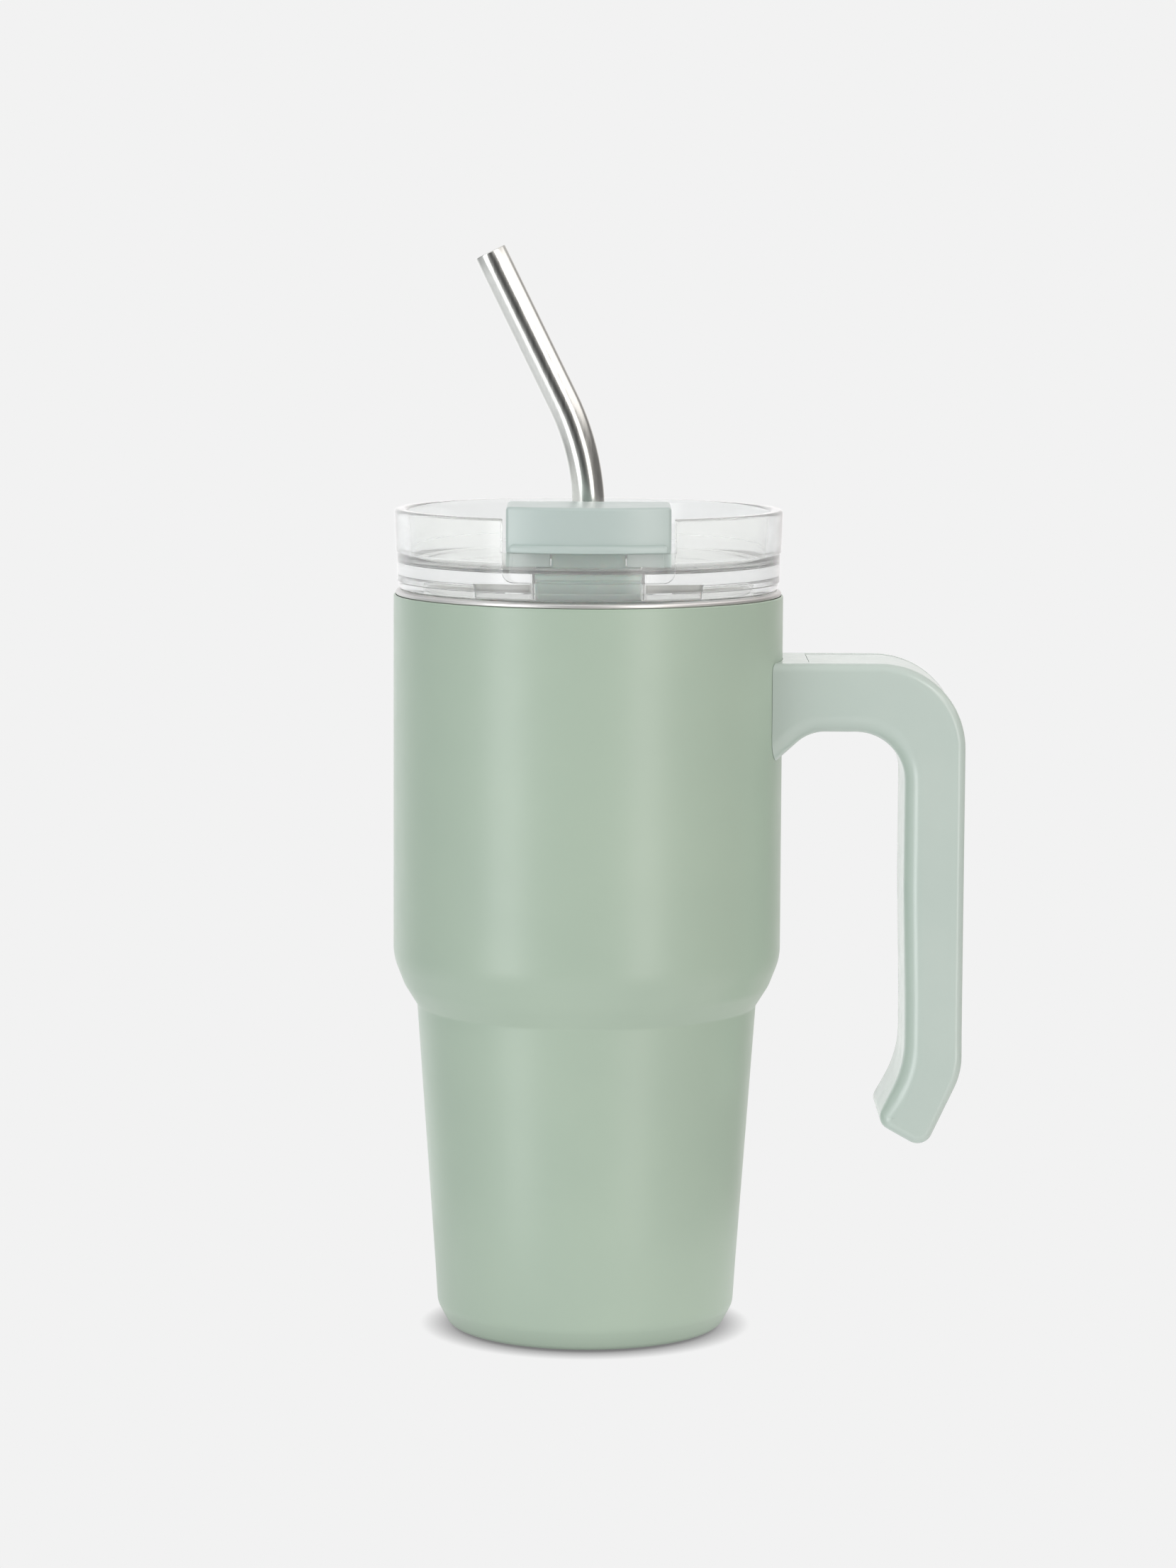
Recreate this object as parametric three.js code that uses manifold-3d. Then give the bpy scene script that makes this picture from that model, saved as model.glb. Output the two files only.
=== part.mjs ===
// Insulated travel mug: a double-walled steel cup with a side handle, a clear press-in lid
// with a flip cap, and a bent steel straw.
// Millimetres, +Z up. The origin is the centre of the base pad's underside. +X points to the
// handle and -Y to the side that is drunk from.
import * as THREE from "three";
import { mergeVertices } from "three/addons/utils/BufferGeometryUtils.js";
import Module from "manifold-3d";

const wasm = await Module();
wasm.setup();

// ---------------------------------------------------------------- driving dimensions
const GAP = 0.3; // between pieces that touch on the real mug
const ROUND = 40; // facets round a large circle
const SMALL_ROUND = 20; // facets round a small one

const BODY_R = 48; // outer shell above the shoulder
const SHELL_TOP = 182.8; // upper edge of the painted shell
const SHELL_WALL = 0.8;
const SHOULDER_TOP = 95.5;
const SHOULDER_FOOT = 81.3;
const SHOULDER_FOOT_R = 42.05;
const SHOULDER_CURVE = [{ down: 4.3, inward: 0.95 }, { down: 2.1, inward: 0.25 }]; // up to SHOULDER_TOP
const BASE_R = 37.3; // shell just above its rounded foot
const BASE_TOP = 16.5; // where the taper ends in a nearly straight base
const FOOT_Z = 0.5; // steel foot clears the table by this much
const FOOT_ROUND = 5.7;
const FOOT_HOLE_R = 30; // the shell's foot turns up inside at this radius
const FOOT_TURN_TOP = 3.6;

const VACUUM = 2.8; // gap between shell and liner
const LINER_WALL = 0.6;
const LINER_R = BODY_R - SHELL_WALL - VACUUM - LINER_WALL; // inside of the cup
const LINER_FLOOR = 10.8;
const LINER_FLOOR_R = 33.2;
const LINER_CORNER = 8;
const LIP_FOOT = 180; // the cup's wall starts to flare into the rolled lip here
const LIP_UNDER = 183.1;
const LIP_TOP = 184.4;
const LIP_R = 47.5;

const PAD_R = 29.2;
const PAD_H = 2.2;

const LID_R = 47.8;
const LID_LOWER_R = 47.2;
const LID_TOP = 204.2;
const LID_STEP = 193.7; // where the upper band of the lid overhangs the lower one
const LID_SEAT = LIP_TOP + GAP;
const DISH_FLOOR = 190.8;
const FLOOR_T = 3;
const DISH_R = 44.6;
const SKIRT_R = 42.9;
const SKIRT_IN_R = 40.7;
const SKIRT_FOOT = 172;
const NOTCH_HALF = 20.5; // opening in the lid's rim for the flip cap

const FLIP_HALF = 19.65;
const FLIP_TOP = 207.1;
const FLIP_LIP = 196.2; // underside of the cap's front panel
const FLIP_R = 47.9; // front panel, flush with the lid's rim
const FLIP_IN_R = 45.3;
const FLIP_LIP_R = 48.6; // thumb lip along the panel's lower edge
const FLIP_LIP_H = 2;
const FLIP_BACK_Y = -20.5;
const HINGE_Y = -22;
const HINGE_Z = 193.8;
const HINGE_BARREL_R = 2.7;
const CHEEK_T = 1.8; // cap's side walls, outside the hinge posts
const PIN_R = 1.2;

const STRAW_R = 4;
const STRAW_BORE_R = 3.5;
const STRAW_FOOT = 14;
const STRAW_BEND_Z = 202.5;
const STRAW_BEND_R = 64;
const STRAW_LEAN = THREE.MathUtils.degToRad(26.3);
const STRAW_TIP_RUN = 40.2; // straight length above the bend

const HANDLE_DEPTH = 34;
const HANDLE_TOP = 167.5;
const HANDLE_OUT = 92.4;
const HANDLE_IN = 77.7;
const ARM_UNDER = 150.5;
const HANDLE_CORNER_R = 21;
const HANDLE_EDGE = 2.2; // rounding of the handle's long edges
const COVER_START = 54;
const COVER_END_Z = 78;
const COVER_HALF = 11.7;
const COVER_T = 1.5;
const SCREW_X = [60, 69];
const SCREW = { r: 1.5, foot: 155, headR: 2.8, headZ: 163.2, headH: 1.9 };

// ---------------------------------------------------------------- finishes
const finish = (color, roughness, metalness = 0, opacity = 1) =>
  new THREE.MeshStandardMaterial({ color, roughness, metalness, opacity, transparent: opacity < 1 });

const SAGE_PAINT = () => finish(0xb0c1b0, 0.4, 0.2);
const SAGE_PLASTIC = () => finish(0xbfcdc5, 0.45);
const STEEL = () => finish(0xc9c8c4, 0.28, 1);
const CLEAR = () => finish(0xf2f4f2, 0.05, 0, 0.3);
const SILICONE = () => finish(0xdfe2df, 0.6);

// ---------------------------------------------------------------- helpers
// Closed mesh to solid and back.
function solid(geometry) {
  const bare = geometry.clone();
  bare.deleteAttribute("normal");
  bare.deleteAttribute("uv");
  const merged = mergeVertices(bare, 1e-4);
  return new wasm.Manifold(
    new wasm.Mesh({
      numProp: 3,
      vertProperties: merged.getAttribute("position").array,
      triVerts: new Uint32Array(merged.index.array),
    }),
  );
}

function geometryOf(made) {
  const { vertProperties, triVerts } = made.getMesh();
  const indexed = new THREE.BufferGeometry();
  indexed.setAttribute("position", new THREE.BufferAttribute(vertProperties, 3));
  indexed.setIndex(new THREE.BufferAttribute(triVerts, 1));
  const faceted = indexed.toNonIndexed();
  faceted.computeVertexNormals();
  return faceted;
}

const unite = (...solids) => solids.reduce((sum, next) => sum.add(next));
const cut = (base, ...tools) => tools.reduce((left, tool) => left.subtract(tool), base);

// A profile of [radius, height] points turned about Z. It runs up the outside and back down
// the inside, or from the axis round to the axis again.
function turned(profile, facets = ROUND) {
  const points = profile.map(([r, z]) => new THREE.Vector2(r, z));
  return solid(new THREE.LatheGeometry(points, facets).rotateX(Math.PI / 2));
}

const ring = (profile, facets) => turned([...profile, profile[0]], facets);

// Points of an arc in a profile or an outline, angles in degrees from the first axis.
function arc(centreA, centreB, radius, from, to, steps) {
  return Array.from({ length: steps + 1 }, (_, i) => {
    const angle = THREE.MathUtils.degToRad(from + ((to - from) * i) / steps);
    return [centreA + radius * Math.cos(angle), centreB + radius * Math.sin(angle)];
  });
}

// An open outline of [x, z] points, where a point with a third value is rounded to that radius.
function rounded(points, maxStep = 28) {
  return points.flatMap(([x, z, radius], i) => {
    if (!radius) return [[x, z]];
    const corner = new THREE.Vector2(x, z);
    const [back, next] = [points[i - 1], points[i + 1]].map(([nearX, nearZ]) =>
      new THREE.Vector2(nearX, nearZ).sub(corner).normalize(),
    );
    const half = Math.acos(back.dot(next)) / 2;
    const centre = back.clone().add(next).setLength(radius / Math.sin(half)).add(corner);
    const start = back.clone().setLength(radius / Math.tan(half)).add(corner);
    const sweep = Math.sign(next.cross(back)) * (Math.PI - 2 * half);
    const steps = Math.ceil(THREE.MathUtils.radToDeg(Math.abs(sweep)) / maxStep);
    return Array.from({ length: steps + 1 }, (_, step) =>
      start.clone().rotateAround(centre, (sweep * step) / steps).toArray(),
    );
  });
}

function box([x0, x1], [y0, y1], [z0, z1]) {
  const block = new THREE.BoxGeometry(x1 - x0, y1 - y0, z1 - z0);
  return solid(block.translate((x0 + x1) / 2, (y0 + y1) / 2, (z0 + z1) / 2));
}

const discAt = (radius, [z0, z1], x = 0, y = 0, facets = SMALL_ROUND) =>
  turned([[0, z0], [radius, z0], [radius, z1], [0, z1]], facets).translate([x, y, 0]);

// A round bar along X, at the hinge's height and distance.
function hingeBar(radius, [x0, x1], facets = SMALL_ROUND) {
  const bar = new THREE.CylinderGeometry(radius, radius, x1 - x0, facets).rotateZ(Math.PI / 2);
  return solid(bar.translate((x0 + x1) / 2, HINGE_Y, HINGE_Z));
}

// An outline in X and Z, made into a slab centred on y = 0.
function slabXZ(outline, depth, edge = 0, edgeSteps = 3) {
  const shape = new THREE.Shape(outline.map(([x, z]) => new THREE.Vector2(x, z)));
  const slab = new THREE.ExtrudeGeometry(shape, {
    depth: depth - 2 * edge,
    bevelEnabled: edge > 0,
    bevelSize: edge,
    bevelThickness: edge,
    bevelOffset: -edge,
    bevelSegments: edgeSteps,
    steps: 1,
  });
  return solid(slab.translate(0, 0, edge - depth / 2).rotateX(Math.PI / 2));
}

// A rectangle in plan with rounded corners, standing from z0 to z1.
function roundedBlock([x0, x1], [y0, y1], [z0, z1], radius) {
  const outline = [
    ...arc(x1 - radius, y1 - radius, radius, 0, 90, 4),
    ...arc(x0 + radius, y1 - radius, radius, 90, 180, 4),
    ...arc(x0 + radius, y0 + radius, radius, 180, 270, 4),
    ...arc(x1 - radius, y0 + radius, radius, 270, 360, 4),
  ];
  const shape = new THREE.Shape(outline.map(([x, y]) => new THREE.Vector2(x, y)));
  const block = new THREE.ExtrudeGeometry(shape, { depth: z1 - z0, bevelEnabled: false });
  return solid(block.translate(0, 0, z0));
}

const BOTH_SIDES = [-1, 1];
const mirrored = ([near, far], side) => (side > 0 ? [near, far] : [-far, -near]);

// ---------------------------------------------------------------- the steel body
// Outer wall of the shell from the foot to the paint's upper edge, set in by inset.
function shellWall(inset) {
  const foot = FOOT_ROUND - inset;
  const centreR = BASE_R - FOOT_ROUND;
  return [
    ...arc(centreR, FOOT_Z + FOOT_ROUND, foot, -90, 0, 5),
    [BASE_R + 0.2 - inset, BASE_TOP],
    [SHOULDER_FOOT_R - inset, SHOULDER_FOOT],
    ...SHOULDER_CURVE.map(({ down, inward }) => [BODY_R - inward - inset, SHOULDER_TOP - down]),
    [BODY_R - inset, SHOULDER_TOP],
    [BODY_R - inset, SHELL_TOP],
  ];
}

function outerShell() {
  const outside = shellWall(0);
  const inside = shellWall(SHELL_WALL).reverse();
  const turnR = FOOT_HOLE_R + SHELL_WALL;
  const turnedUp = [
    [turnR, FOOT_Z + SHELL_WALL + 0.5], [turnR, FOOT_TURN_TOP], [FOOT_HOLE_R, FOOT_TURN_TOP],
    [FOOT_HOLE_R, FOOT_Z + 0.6], [FOOT_HOLE_R + 0.6, FOOT_Z],
  ];
  return ring([...outside, ...inside, ...turnedUp]);
}

// Pressed disc with a turned-up rim and, in its middle, a dome round the evacuation hole.
const BOTTOM = { under: 2.5, rimTop: 5, holeR: 1.2, domeR: 4.2, domeFootR: 5.6, domeH: 1.4 };

function outerBottom() {
  const { under, rimTop, holeR, domeR, domeFootR, domeH } = BOTTOM;
  const rim = FOOT_HOLE_R - GAP;
  const over = under + SHELL_WALL;
  return ring([
    [holeR, under + domeH], [domeR, under + domeH], [domeFootR, under], [rim, under],
    [rim, rimTop], [rim - SHELL_WALL, rimTop], [rim - SHELL_WALL, over], [domeFootR + 0.3, over],
    [domeR + 0.3, over + domeH], [holeR, over + domeH],
  ]);
}

const SEAL_R = 3.4; // at the bead's widest

function vacuumSeal() {
  const { under, domeH } = BOTTOM;
  const top = under + domeH - GAP;
  return turned(
    [[0, under], [SEAL_R - 0.8, under], [SEAL_R, under + 0.5], [SEAL_R - 0.2, top], [0, top]],
    SMALL_ROUND,
  );
}

const basePad = () => turned([[0, 0], [PAD_R - 0.5, 0], [PAD_R, 0.5], [PAD_R, PAD_H], [0, PAD_H]]);

// The cup's wall, following the shell inside the vacuum gap.
function linerWall(out) {
  const lower = SHELL_WALL + VACUUM + LINER_WALL - out;
  const cornerR = LINER_FLOOR_R + out - LINER_CORNER;
  return [
    [0, LINER_FLOOR - out],
    ...arc(cornerR, LINER_FLOOR + LINER_CORNER, LINER_CORNER + out, -90, -8, 5),
    [SHOULDER_FOOT_R - lower, SHOULDER_FOOT + 1.2],
    [LINER_R + out - 0.5, SHOULDER_TOP - 1.5],
    [LINER_R + out, SHOULDER_TOP + 1],
  ];
}

function innerLiner() {
  const flareOutside = [
    [LINER_R + LINER_WALL, LIP_FOOT], [LINER_R + 0.9, LIP_FOOT + 1.6], [LINER_R + 1.5, LIP_UNDER],
  ];
  const roll = [
    [LIP_R, LIP_UNDER], [LIP_R, LIP_TOP - 0.7], [LIP_R - 0.4, LIP_TOP - 0.2], [LIP_R - 1.1, LIP_TOP],
    [LIP_R - 2.1, LIP_TOP - 0.2],
  ];
  const flareInside = [
    [LINER_R + 0.8, LIP_TOP - 0.9], [LINER_R + 0.3, LIP_TOP - 2.2], [LINER_R, LIP_FOOT],
  ];
  const lip = [...flareOutside, ...roll, ...flareInside];
  return turned([...linerWall(LINER_WALL), ...lip, ...linerWall(0).reverse()]);
}

const FOIL_R = LINER_R + LINER_WALL + 0.9;
const FOIL_OUT_R = FOIL_R + 0.4;
const [FOIL_FOOT, FOIL_TOP] = [99, 176];
const radiationFoil = () =>
  ring([[FOIL_R, FOIL_FOOT], [FOIL_OUT_R, FOIL_FOOT], [FOIL_OUT_R, FOIL_TOP], [FOIL_R, FOIL_TOP]]);

const GETTER = { r: 6, z: [7.2, 9.9], x: 12 };
const getter = () => discAt(GETTER.r, GETTER.z, GETTER.x);

// ---------------------------------------------------------------- the handle
// Outer face of the handle, set in by depth: along the top of the arm, round the corner
// and down the grip.
function outerFace(depth, start, endZ, steps = 8) {
  const corner = HANDLE_CORNER_R - depth;
  const centreX = HANDLE_OUT - HANDLE_CORNER_R;
  const centreZ = HANDLE_TOP - HANDLE_CORNER_R;
  return [
    [start, HANDLE_TOP - depth],
    ...arc(centreX, centreZ, corner, 90, 0, steps),
    [HANDLE_OUT - depth, endZ],
  ];
}

// The strip of handle between two depths below its outer face.
const outerBand = (outerDepth, innerDepth, start, endZ) => [
  ...outerFace(outerDepth, start, endZ),
  ...outerFace(innerDepth, start, endZ).reverse(),
];

// The arm's end at the shell, its under side with a gusset, the inner corner, the grip and
// the toe, which leans in under the hand.
function handleOutline() {
  const end = 40;
  const toe = [
    [HANDLE_OUT, COVER_END_Z - 2], [HANDLE_OUT, 66.5, 18], [83.5, 47.3, 3.8], [71.4, 54.0, 3.2],
    [78.4, 67.6, 26], [HANDLE_IN + 0.65, 84],
  ];
  const underArm = [
    [HANDLE_IN, 112], [HANDLE_IN, ARM_UNDER, 12], [54.2, ARM_UNDER, 10], [45, 142.2], [end, 142.2],
  ];
  return [
    [end, HANDLE_TOP], ...outerFace(0, 48, COVER_END_Z), ...rounded(toe), ...rounded(underArm, 15),
  ];
}

// A channel under a top plate, welded to the shell by a curved plate at its end.
const BRACKET = { half: 6.5, foot: 153.5, top: 161.1, start: 48.8, end: 74, sheet: 1.5 };
const WELD_PLATE = { half: 9, foot: 152.2, top: 163.5, sheet: 1.2 };
const SCREW_HOLE_R = SCREW.r + GAP;
const NUT = { r: 3.1, h: 2.2 };
const bodyCylinder = (radius) => discAt(radius, [100, 180], 0, 0, ROUND);

// The part of a sleeve round the shell where the weld plate lies, grown by room on every side.
function weldPlate(room) {
  const { half, foot, top, sheet } = WELD_PLATE;
  const sleeve = cut(bodyCylinder(BODY_R + GAP + sheet + room), bodyCylinder(BODY_R + GAP));
  return sleeve.intersect(box([40, 55], [-half - room, half + room], [foot - room, top + room]));
}

function handleFrame() {
  const { half, foot, top, end } = BRACKET;
  const block = slabXZ(handleOutline(), HANDLE_DEPTH, HANDLE_EDGE);
  const seat = bodyCylinder(BODY_R + GAP);
  const channelPocket = box([BODY_R, end + GAP], [-half - GAP, half + GAP], [foot - GAP, top + GAP]);
  const beyond = -4; // outside the outer face, so that the recess is open
  const recess = slabXZ(
    outerBand(beyond, COVER_T + 2 * GAP, COVER_START, COVER_END_Z), 2 * (COVER_HALF + GAP),
  );
  const screwHoles = SCREW_X.flatMap((x) => [
    discAt(SCREW_HOLE_R, [top - 1, HANDLE_TOP], x),
    discAt(SCREW.headR + GAP, [SCREW.headZ - GAP, HANDLE_TOP], x),
  ]);
  return cut(block, seat, weldPlate(GAP), channelPocket, recess, ...screwHoles);
}

function handleCover() {
  const band = outerBand(GAP, COVER_T + GAP, COVER_START + GAP, COVER_END_Z + GAP);
  return slabXZ(band, 2 * COVER_HALF);
}

function handleBracket() {
  const { half, foot, top, start, end, sheet } = BRACKET;
  const plate = box([start, end], [-half, half], [top - sheet, top]);
  const sides = BOTH_SIDES.map((side) =>
    box([start, end], mirrored([half - sheet, half], side), [foot, top - 0.2]),
  );
  const holes = SCREW_X.map((x) => discAt(SCREW_HOLE_R, [top - 10, top + 1], x));
  return cut(unite(weldPlate(0), plate, ...sides), ...holes);
}

// A hexagonal nut under the channel's top plate.
function bracketNut(x) {
  const top = BRACKET.top - BRACKET.sheet - GAP;
  const nut = discAt(NUT.r, [top - NUT.h, top], x, 0, 6);
  return cut(nut, discAt(SCREW_HOLE_R, [top - 10, top + 1], x));
}

// A pan-head screw from the bottom of the cover's recess into its nut.
function handleScrew(x) {
  const { r, foot, headR, headZ, headH } = SCREW;
  const top = headZ + headH;
  const head = [[r, headZ], [headR, headZ], [headR, top - 0.6], [headR - 0.8, top], [0, top]];
  return turned([[0, foot], [r, foot], ...head], SMALL_ROUND).translate([x, 0, 0]);
}

// ---------------------------------------------------------------- the lid
const GROOVE = { low: 175.5, high: 179.5, depth: 1.2 };
const DISH_CORNER_R = 2.5;
const SPOUT = { half: 12.9, front: -38, back: -29.8, corner: 1.5 };
const BOSS_FOOT = 185.3; // underside of the thicker floor round the spout
const NOTCH_FLOOR = 195.9;
const FINGER_RECESS = { foot: 188.9, corner: 2.5, wallR: 45.4 };
const GROMMET_HOLE_R = 6.6;
const ABOVE_LID = LID_TOP + 6; // cutting tools reach from below the lid's floor to here
const BELOW_FLOOR = 180;

function lidTurning() {
  const { low, high, depth } = GROOVE;
  const skirt = [
    [SKIRT_IN_R, SKIRT_FOOT], [SKIRT_R, SKIRT_FOOT], [SKIRT_R, low], [SKIRT_R - depth, low],
    [SKIRT_R - depth, high], [SKIRT_R, high], [SKIRT_R, LID_SEAT],
  ];
  const lowerBand = [
    [LID_LOWER_R - 0.7, LID_SEAT], [LID_LOWER_R - 0.3, LID_SEAT + 1.6], [LID_LOWER_R, LID_SEAT + 2],
    [LID_LOWER_R, LID_STEP],
  ];
  const upperBand = [
    [LID_R - 0.3, LID_STEP + 0.2], [LID_R, LID_TOP - 1.0], [LID_R - 0.35, LID_TOP - 0.3],
    [LID_R - 1, LID_TOP], [LID_R - 2.2, LID_TOP], [DISH_R + 0.3, LID_TOP - 0.4], [DISH_R, LID_TOP - 1.2],
  ];
  const dishWallFootR = DISH_R - 1; // the dish's wall leans out by 1 mm
  const dishCorner = arc(
    dishWallFootR - DISH_CORNER_R, DISH_FLOOR + DISH_CORNER_R, DISH_CORNER_R, 0, -90, 4,
  );
  return turned([
    [0, DISH_FLOOR - FLOOR_T], [SKIRT_IN_R, DISH_FLOOR - FLOOR_T], ...skirt, ...lowerBand,
    ...upperBand, ...dishCorner, [0, DISH_FLOOR],
  ]);
}

const POST_X = [13.6, FLIP_HALF - CHEEK_T - GAP];

const PIN_BORE = hingeBar(PIN_R + GAP, [-FLIP_HALF - 1, FLIP_HALF + 1]);

// Upright ear on the dish's floor that carries the hinge pin.
function hingePost(side) {
  const span = mirrored(POST_X, side);
  const stem = box(span, [HINGE_Y - HINGE_BARREL_R, HINGE_Y + HINGE_BARREL_R], [DISH_FLOOR - 0.5, HINGE_Z]);
  return unite(stem, hingeBar(HINGE_BARREL_R, span));
}

function lidBody() {
  const spoutBoss = roundedBlock([-26, 26], [-42.5, -27.5], [BOSS_FOOT, DISH_FLOOR - 1], 2).intersect(
    discAt(SKIRT_IN_R + 1, [BELOW_FLOOR, DISH_FLOOR], 0, 0, ROUND),
  );
  const rimNotch = box([-NOTCH_HALF, NOTCH_HALF], [-60, -30], [NOTCH_FLOOR, ABOVE_LID]);
  const { foot, corner, wallR } = FINGER_RECESS;
  const left = [
    [-NOTCH_HALF, NOTCH_FLOOR + 1], ...arc(corner - NOTCH_HALF, foot + corner, corner, 180, 270, 4),
  ];
  const right = left.map(([x, z]) => [-x, z]).reverse();
  const fingerRecess = slabXZ([...left, ...right], LID_R).translate([0, -LID_R, 0]);
  const recessWall = discAt(wallR, [BELOW_FLOOR, ABOVE_LID], 0, 0, ROUND);
  const spout = roundedBlock(
    [-SPOUT.half, SPOUT.half], [SPOUT.front, SPOUT.back], [BELOW_FLOOR, DISH_FLOOR + 1], SPOUT.corner,
  );
  const strawHole = discAt(GROMMET_HOLE_R, [BELOW_FLOOR, DISH_FLOOR + 1]);
  const body = unite(lidTurning(), spoutBoss, ...BOTH_SIDES.map(hingePost));
  return cut(body, rimNotch, fingerRecess.subtract(recessWall), spout, strawHole, PIN_BORE);
}

// A ring in the skirt's groove, with two fins that lean out towards the cup's wall.
function lidGasket() {
  const inner = SKIRT_R - GROOVE.depth + GAP;
  const base = inner + 1;
  const tip = LINER_R - GAP;
  const low = GROOVE.low + GAP;
  const high = GROOVE.high - GAP;
  const fin = (z) => [[base, z], [tip, z + 0.3], [tip, z + 0.6], [base, z + 0.8]];
  return ring([[inner, low], [base, low], ...fin(low + 0.4), ...fin(low + 2.2), [base, high], [inner, high]]);
}

const GROMMET_R = 7.7;
const GROMMET_FLANGE = 1.4;

function strawGrommet() {
  const bore = STRAW_R + GAP;
  const neck = GROMMET_HOLE_R - GAP;
  const over = DISH_FLOOR + GAP;
  const top = over + GROMMET_FLANGE;
  const under = DISH_FLOOR - FLOOR_T - GAP;
  const foot = under - GROMMET_FLANGE;
  return ring(
    [
      [bore, foot], [GROMMET_R - 0.3, foot], [GROMMET_R, foot + 0.5], [GROMMET_R, under], [neck, under],
      [neck, over], [GROMMET_R, over], [GROMMET_R, top - 0.5], [GROMMET_R - 0.6, top], [bore, top],
    ],
    32,
  );
}

const hingePin = () => hingeBar(PIN_R, [0.6 - FLIP_HALF, FLIP_HALF - 0.6], 16);

// ---------------------------------------------------------------- the flip cap
const FLIP_TOP_T = 3;
const CHEEK_FRONT = -36;
const INNER_WALL_Y = [CHEEK_FRONT, -34.4]; // wall between the cheeks, on both sides of the neck
const LIP_HALF = 19.2;
const NECK = { half: 8.8, front: -37.3, back: -31.0, top: 199.5 };
const FOOT_TAPER = 1.3; // how far the stopper's front corners are cut off
const FOOT_SLANT = [[-36.9, 187.8], [-35.6, BOSS_FOOT]]; // the front leans back below its rim
const FOOT_SIDE_FRONT = -34.6; // the cut corners start here
const STEM = { half: 5.7, front: -36.0, back: -32.4, foot: 188.5 };

function flipTab() {
  const cylinder = (radius) => discAt(radius, [BELOW_FLOOR, ABOVE_LID], 0, 0, ROUND);
  const inner = FLIP_HALF - CHEEK_T;
  const hood = cylinder(FLIP_R).intersect(
    box([-FLIP_HALF, FLIP_HALF], [-50, FLIP_BACK_Y], [FLIP_LIP, FLIP_TOP]),
  );
  const hollow = cylinder(FLIP_IN_R).intersect(
    box([-inner, inner], [-50, FLIP_BACK_Y + 5], [FLIP_LIP - 5, FLIP_TOP - FLIP_TOP_T]),
  );
  const lip = cut(cylinder(FLIP_LIP_R), cylinder(FLIP_IN_R + 0.7)).intersect(
    box([-LIP_HALF, LIP_HALF], [-50, -30], [FLIP_LIP, FLIP_LIP + FLIP_LIP_H]),
  );
  const innerWall = BOTH_SIDES.map((side) =>
    box(mirrored([NECK.half + GAP, inner + 0.2], side), INNER_WALL_Y, [DISH_FLOOR + GAP, FLIP_TOP - 1]),
  );
  const cheeks = BOTH_SIDES.flatMap((side) => {
    const span = mirrored([inner, FLIP_HALF], side);
    return [
      box(span, [CHEEK_FRONT, HINGE_Y], [DISH_FLOOR + GAP, FLIP_LIP + FLIP_LIP_H]),
      box(span, [CHEEK_FRONT, FLIP_BACK_Y], [HINGE_Z + 0.9, FLIP_LIP + FLIP_LIP_H]),
      hingeBar(HINGE_BARREL_R - 0.05, span),
    ];
  });
  const stem = roundedBlock([-STEM.half, STEM.half], [STEM.front, STEM.back], [STEM.foot, FLIP_TOP - 1], 1.2);
  const shell = unite(cut(hood, hollow), lip, ...innerWall, ...cheeks, stem);
  return cut(shell, PIN_BORE);
}

// Soft stopper: a narrow neck on the cap's stem and a wide foot that fills the spout. The
// foot's front leans back and its corners are cut off, so that it swings out of the hole
// without touching the edge.
function flipPlug() {
  const half = SPOUT.half - GAP;
  const front = SPOUT.front + GAP;
  const back = SPOUT.back - GAP;
  const side = [
    [front, DISH_FLOOR], [front, DISH_FLOOR - 0.4], ...FOOT_SLANT, [back, BOSS_FOOT], [back, DISH_FLOOR],
  ];
  const shape = new THREE.Shape(side.map(([y, z]) => new THREE.Vector2(y, z)));
  const prism = new THREE.ExtrudeGeometry(shape, { depth: 2 * half, bevelEnabled: false });
  // The outline's axes are Y and Z, so its depth turns to lie along X.
  const turn = new THREE.Matrix4().makeBasis(
    new THREE.Vector3(0, 1, 0), new THREE.Vector3(0, 0, 1), new THREE.Vector3(1, 0, 0),
  );
  const rightSide = [
    [half - FOOT_TAPER, front], [half, FOOT_SIDE_FRONT], [half, back - 1], [half - 1, back],
  ];
  const leftSide = rightSide.map(([x, y]) => [-x, y]).reverse();
  const plan = new THREE.Shape([...rightSide, ...leftSide].map(([x, y]) => new THREE.Vector2(x, y)));
  const height = DISH_FLOOR - BOSS_FOOT + 2;
  const limit = new THREE.ExtrudeGeometry(plan, { depth: height, bevelEnabled: false });
  const foot = solid(prism.applyMatrix4(turn).translate(-half, 0, 0)).intersect(
    solid(limit.translate(0, 0, BOSS_FOOT - 1)),
  );
  const neck = roundedBlock(
    [-NECK.half, NECK.half], [NECK.front, NECK.back], [DISH_FLOOR - 0.1, NECK.top], 1.5,
  );
  const socket = roundedBlock(
    [-STEM.half - GAP, STEM.half + GAP],
    [STEM.front - GAP, STEM.back + GAP],
    [STEM.foot - GAP, NECK.top + 0.5],
    1.4,
  );
  return cut(unite(foot, neck), socket);
}

// ---------------------------------------------------------------- the straw
// Straight up the mug's axis, round one bend towards -X and on straight.
class StrawLine extends THREE.Curve {
  getPoint(t, target = new THREE.Vector3()) {
    const rise = STRAW_BEND_Z - STRAW_FOOT;
    const bend = STRAW_BEND_R * STRAW_LEAN;
    const along = t * (rise + bend + STRAW_TIP_RUN);
    const lean = THREE.MathUtils.clamp((along - rise) / STRAW_BEND_R, 0, STRAW_LEAN);
    const run = Math.max(0, along - rise - bend);
    const upright = Math.min(along, rise);
    return target.set(
      -STRAW_BEND_R * (1 - Math.cos(lean)) - run * Math.sin(lean),
      0,
      STRAW_FOOT + upright + STRAW_BEND_R * Math.sin(lean) + run * Math.cos(lean),
    );
  }
}

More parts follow.
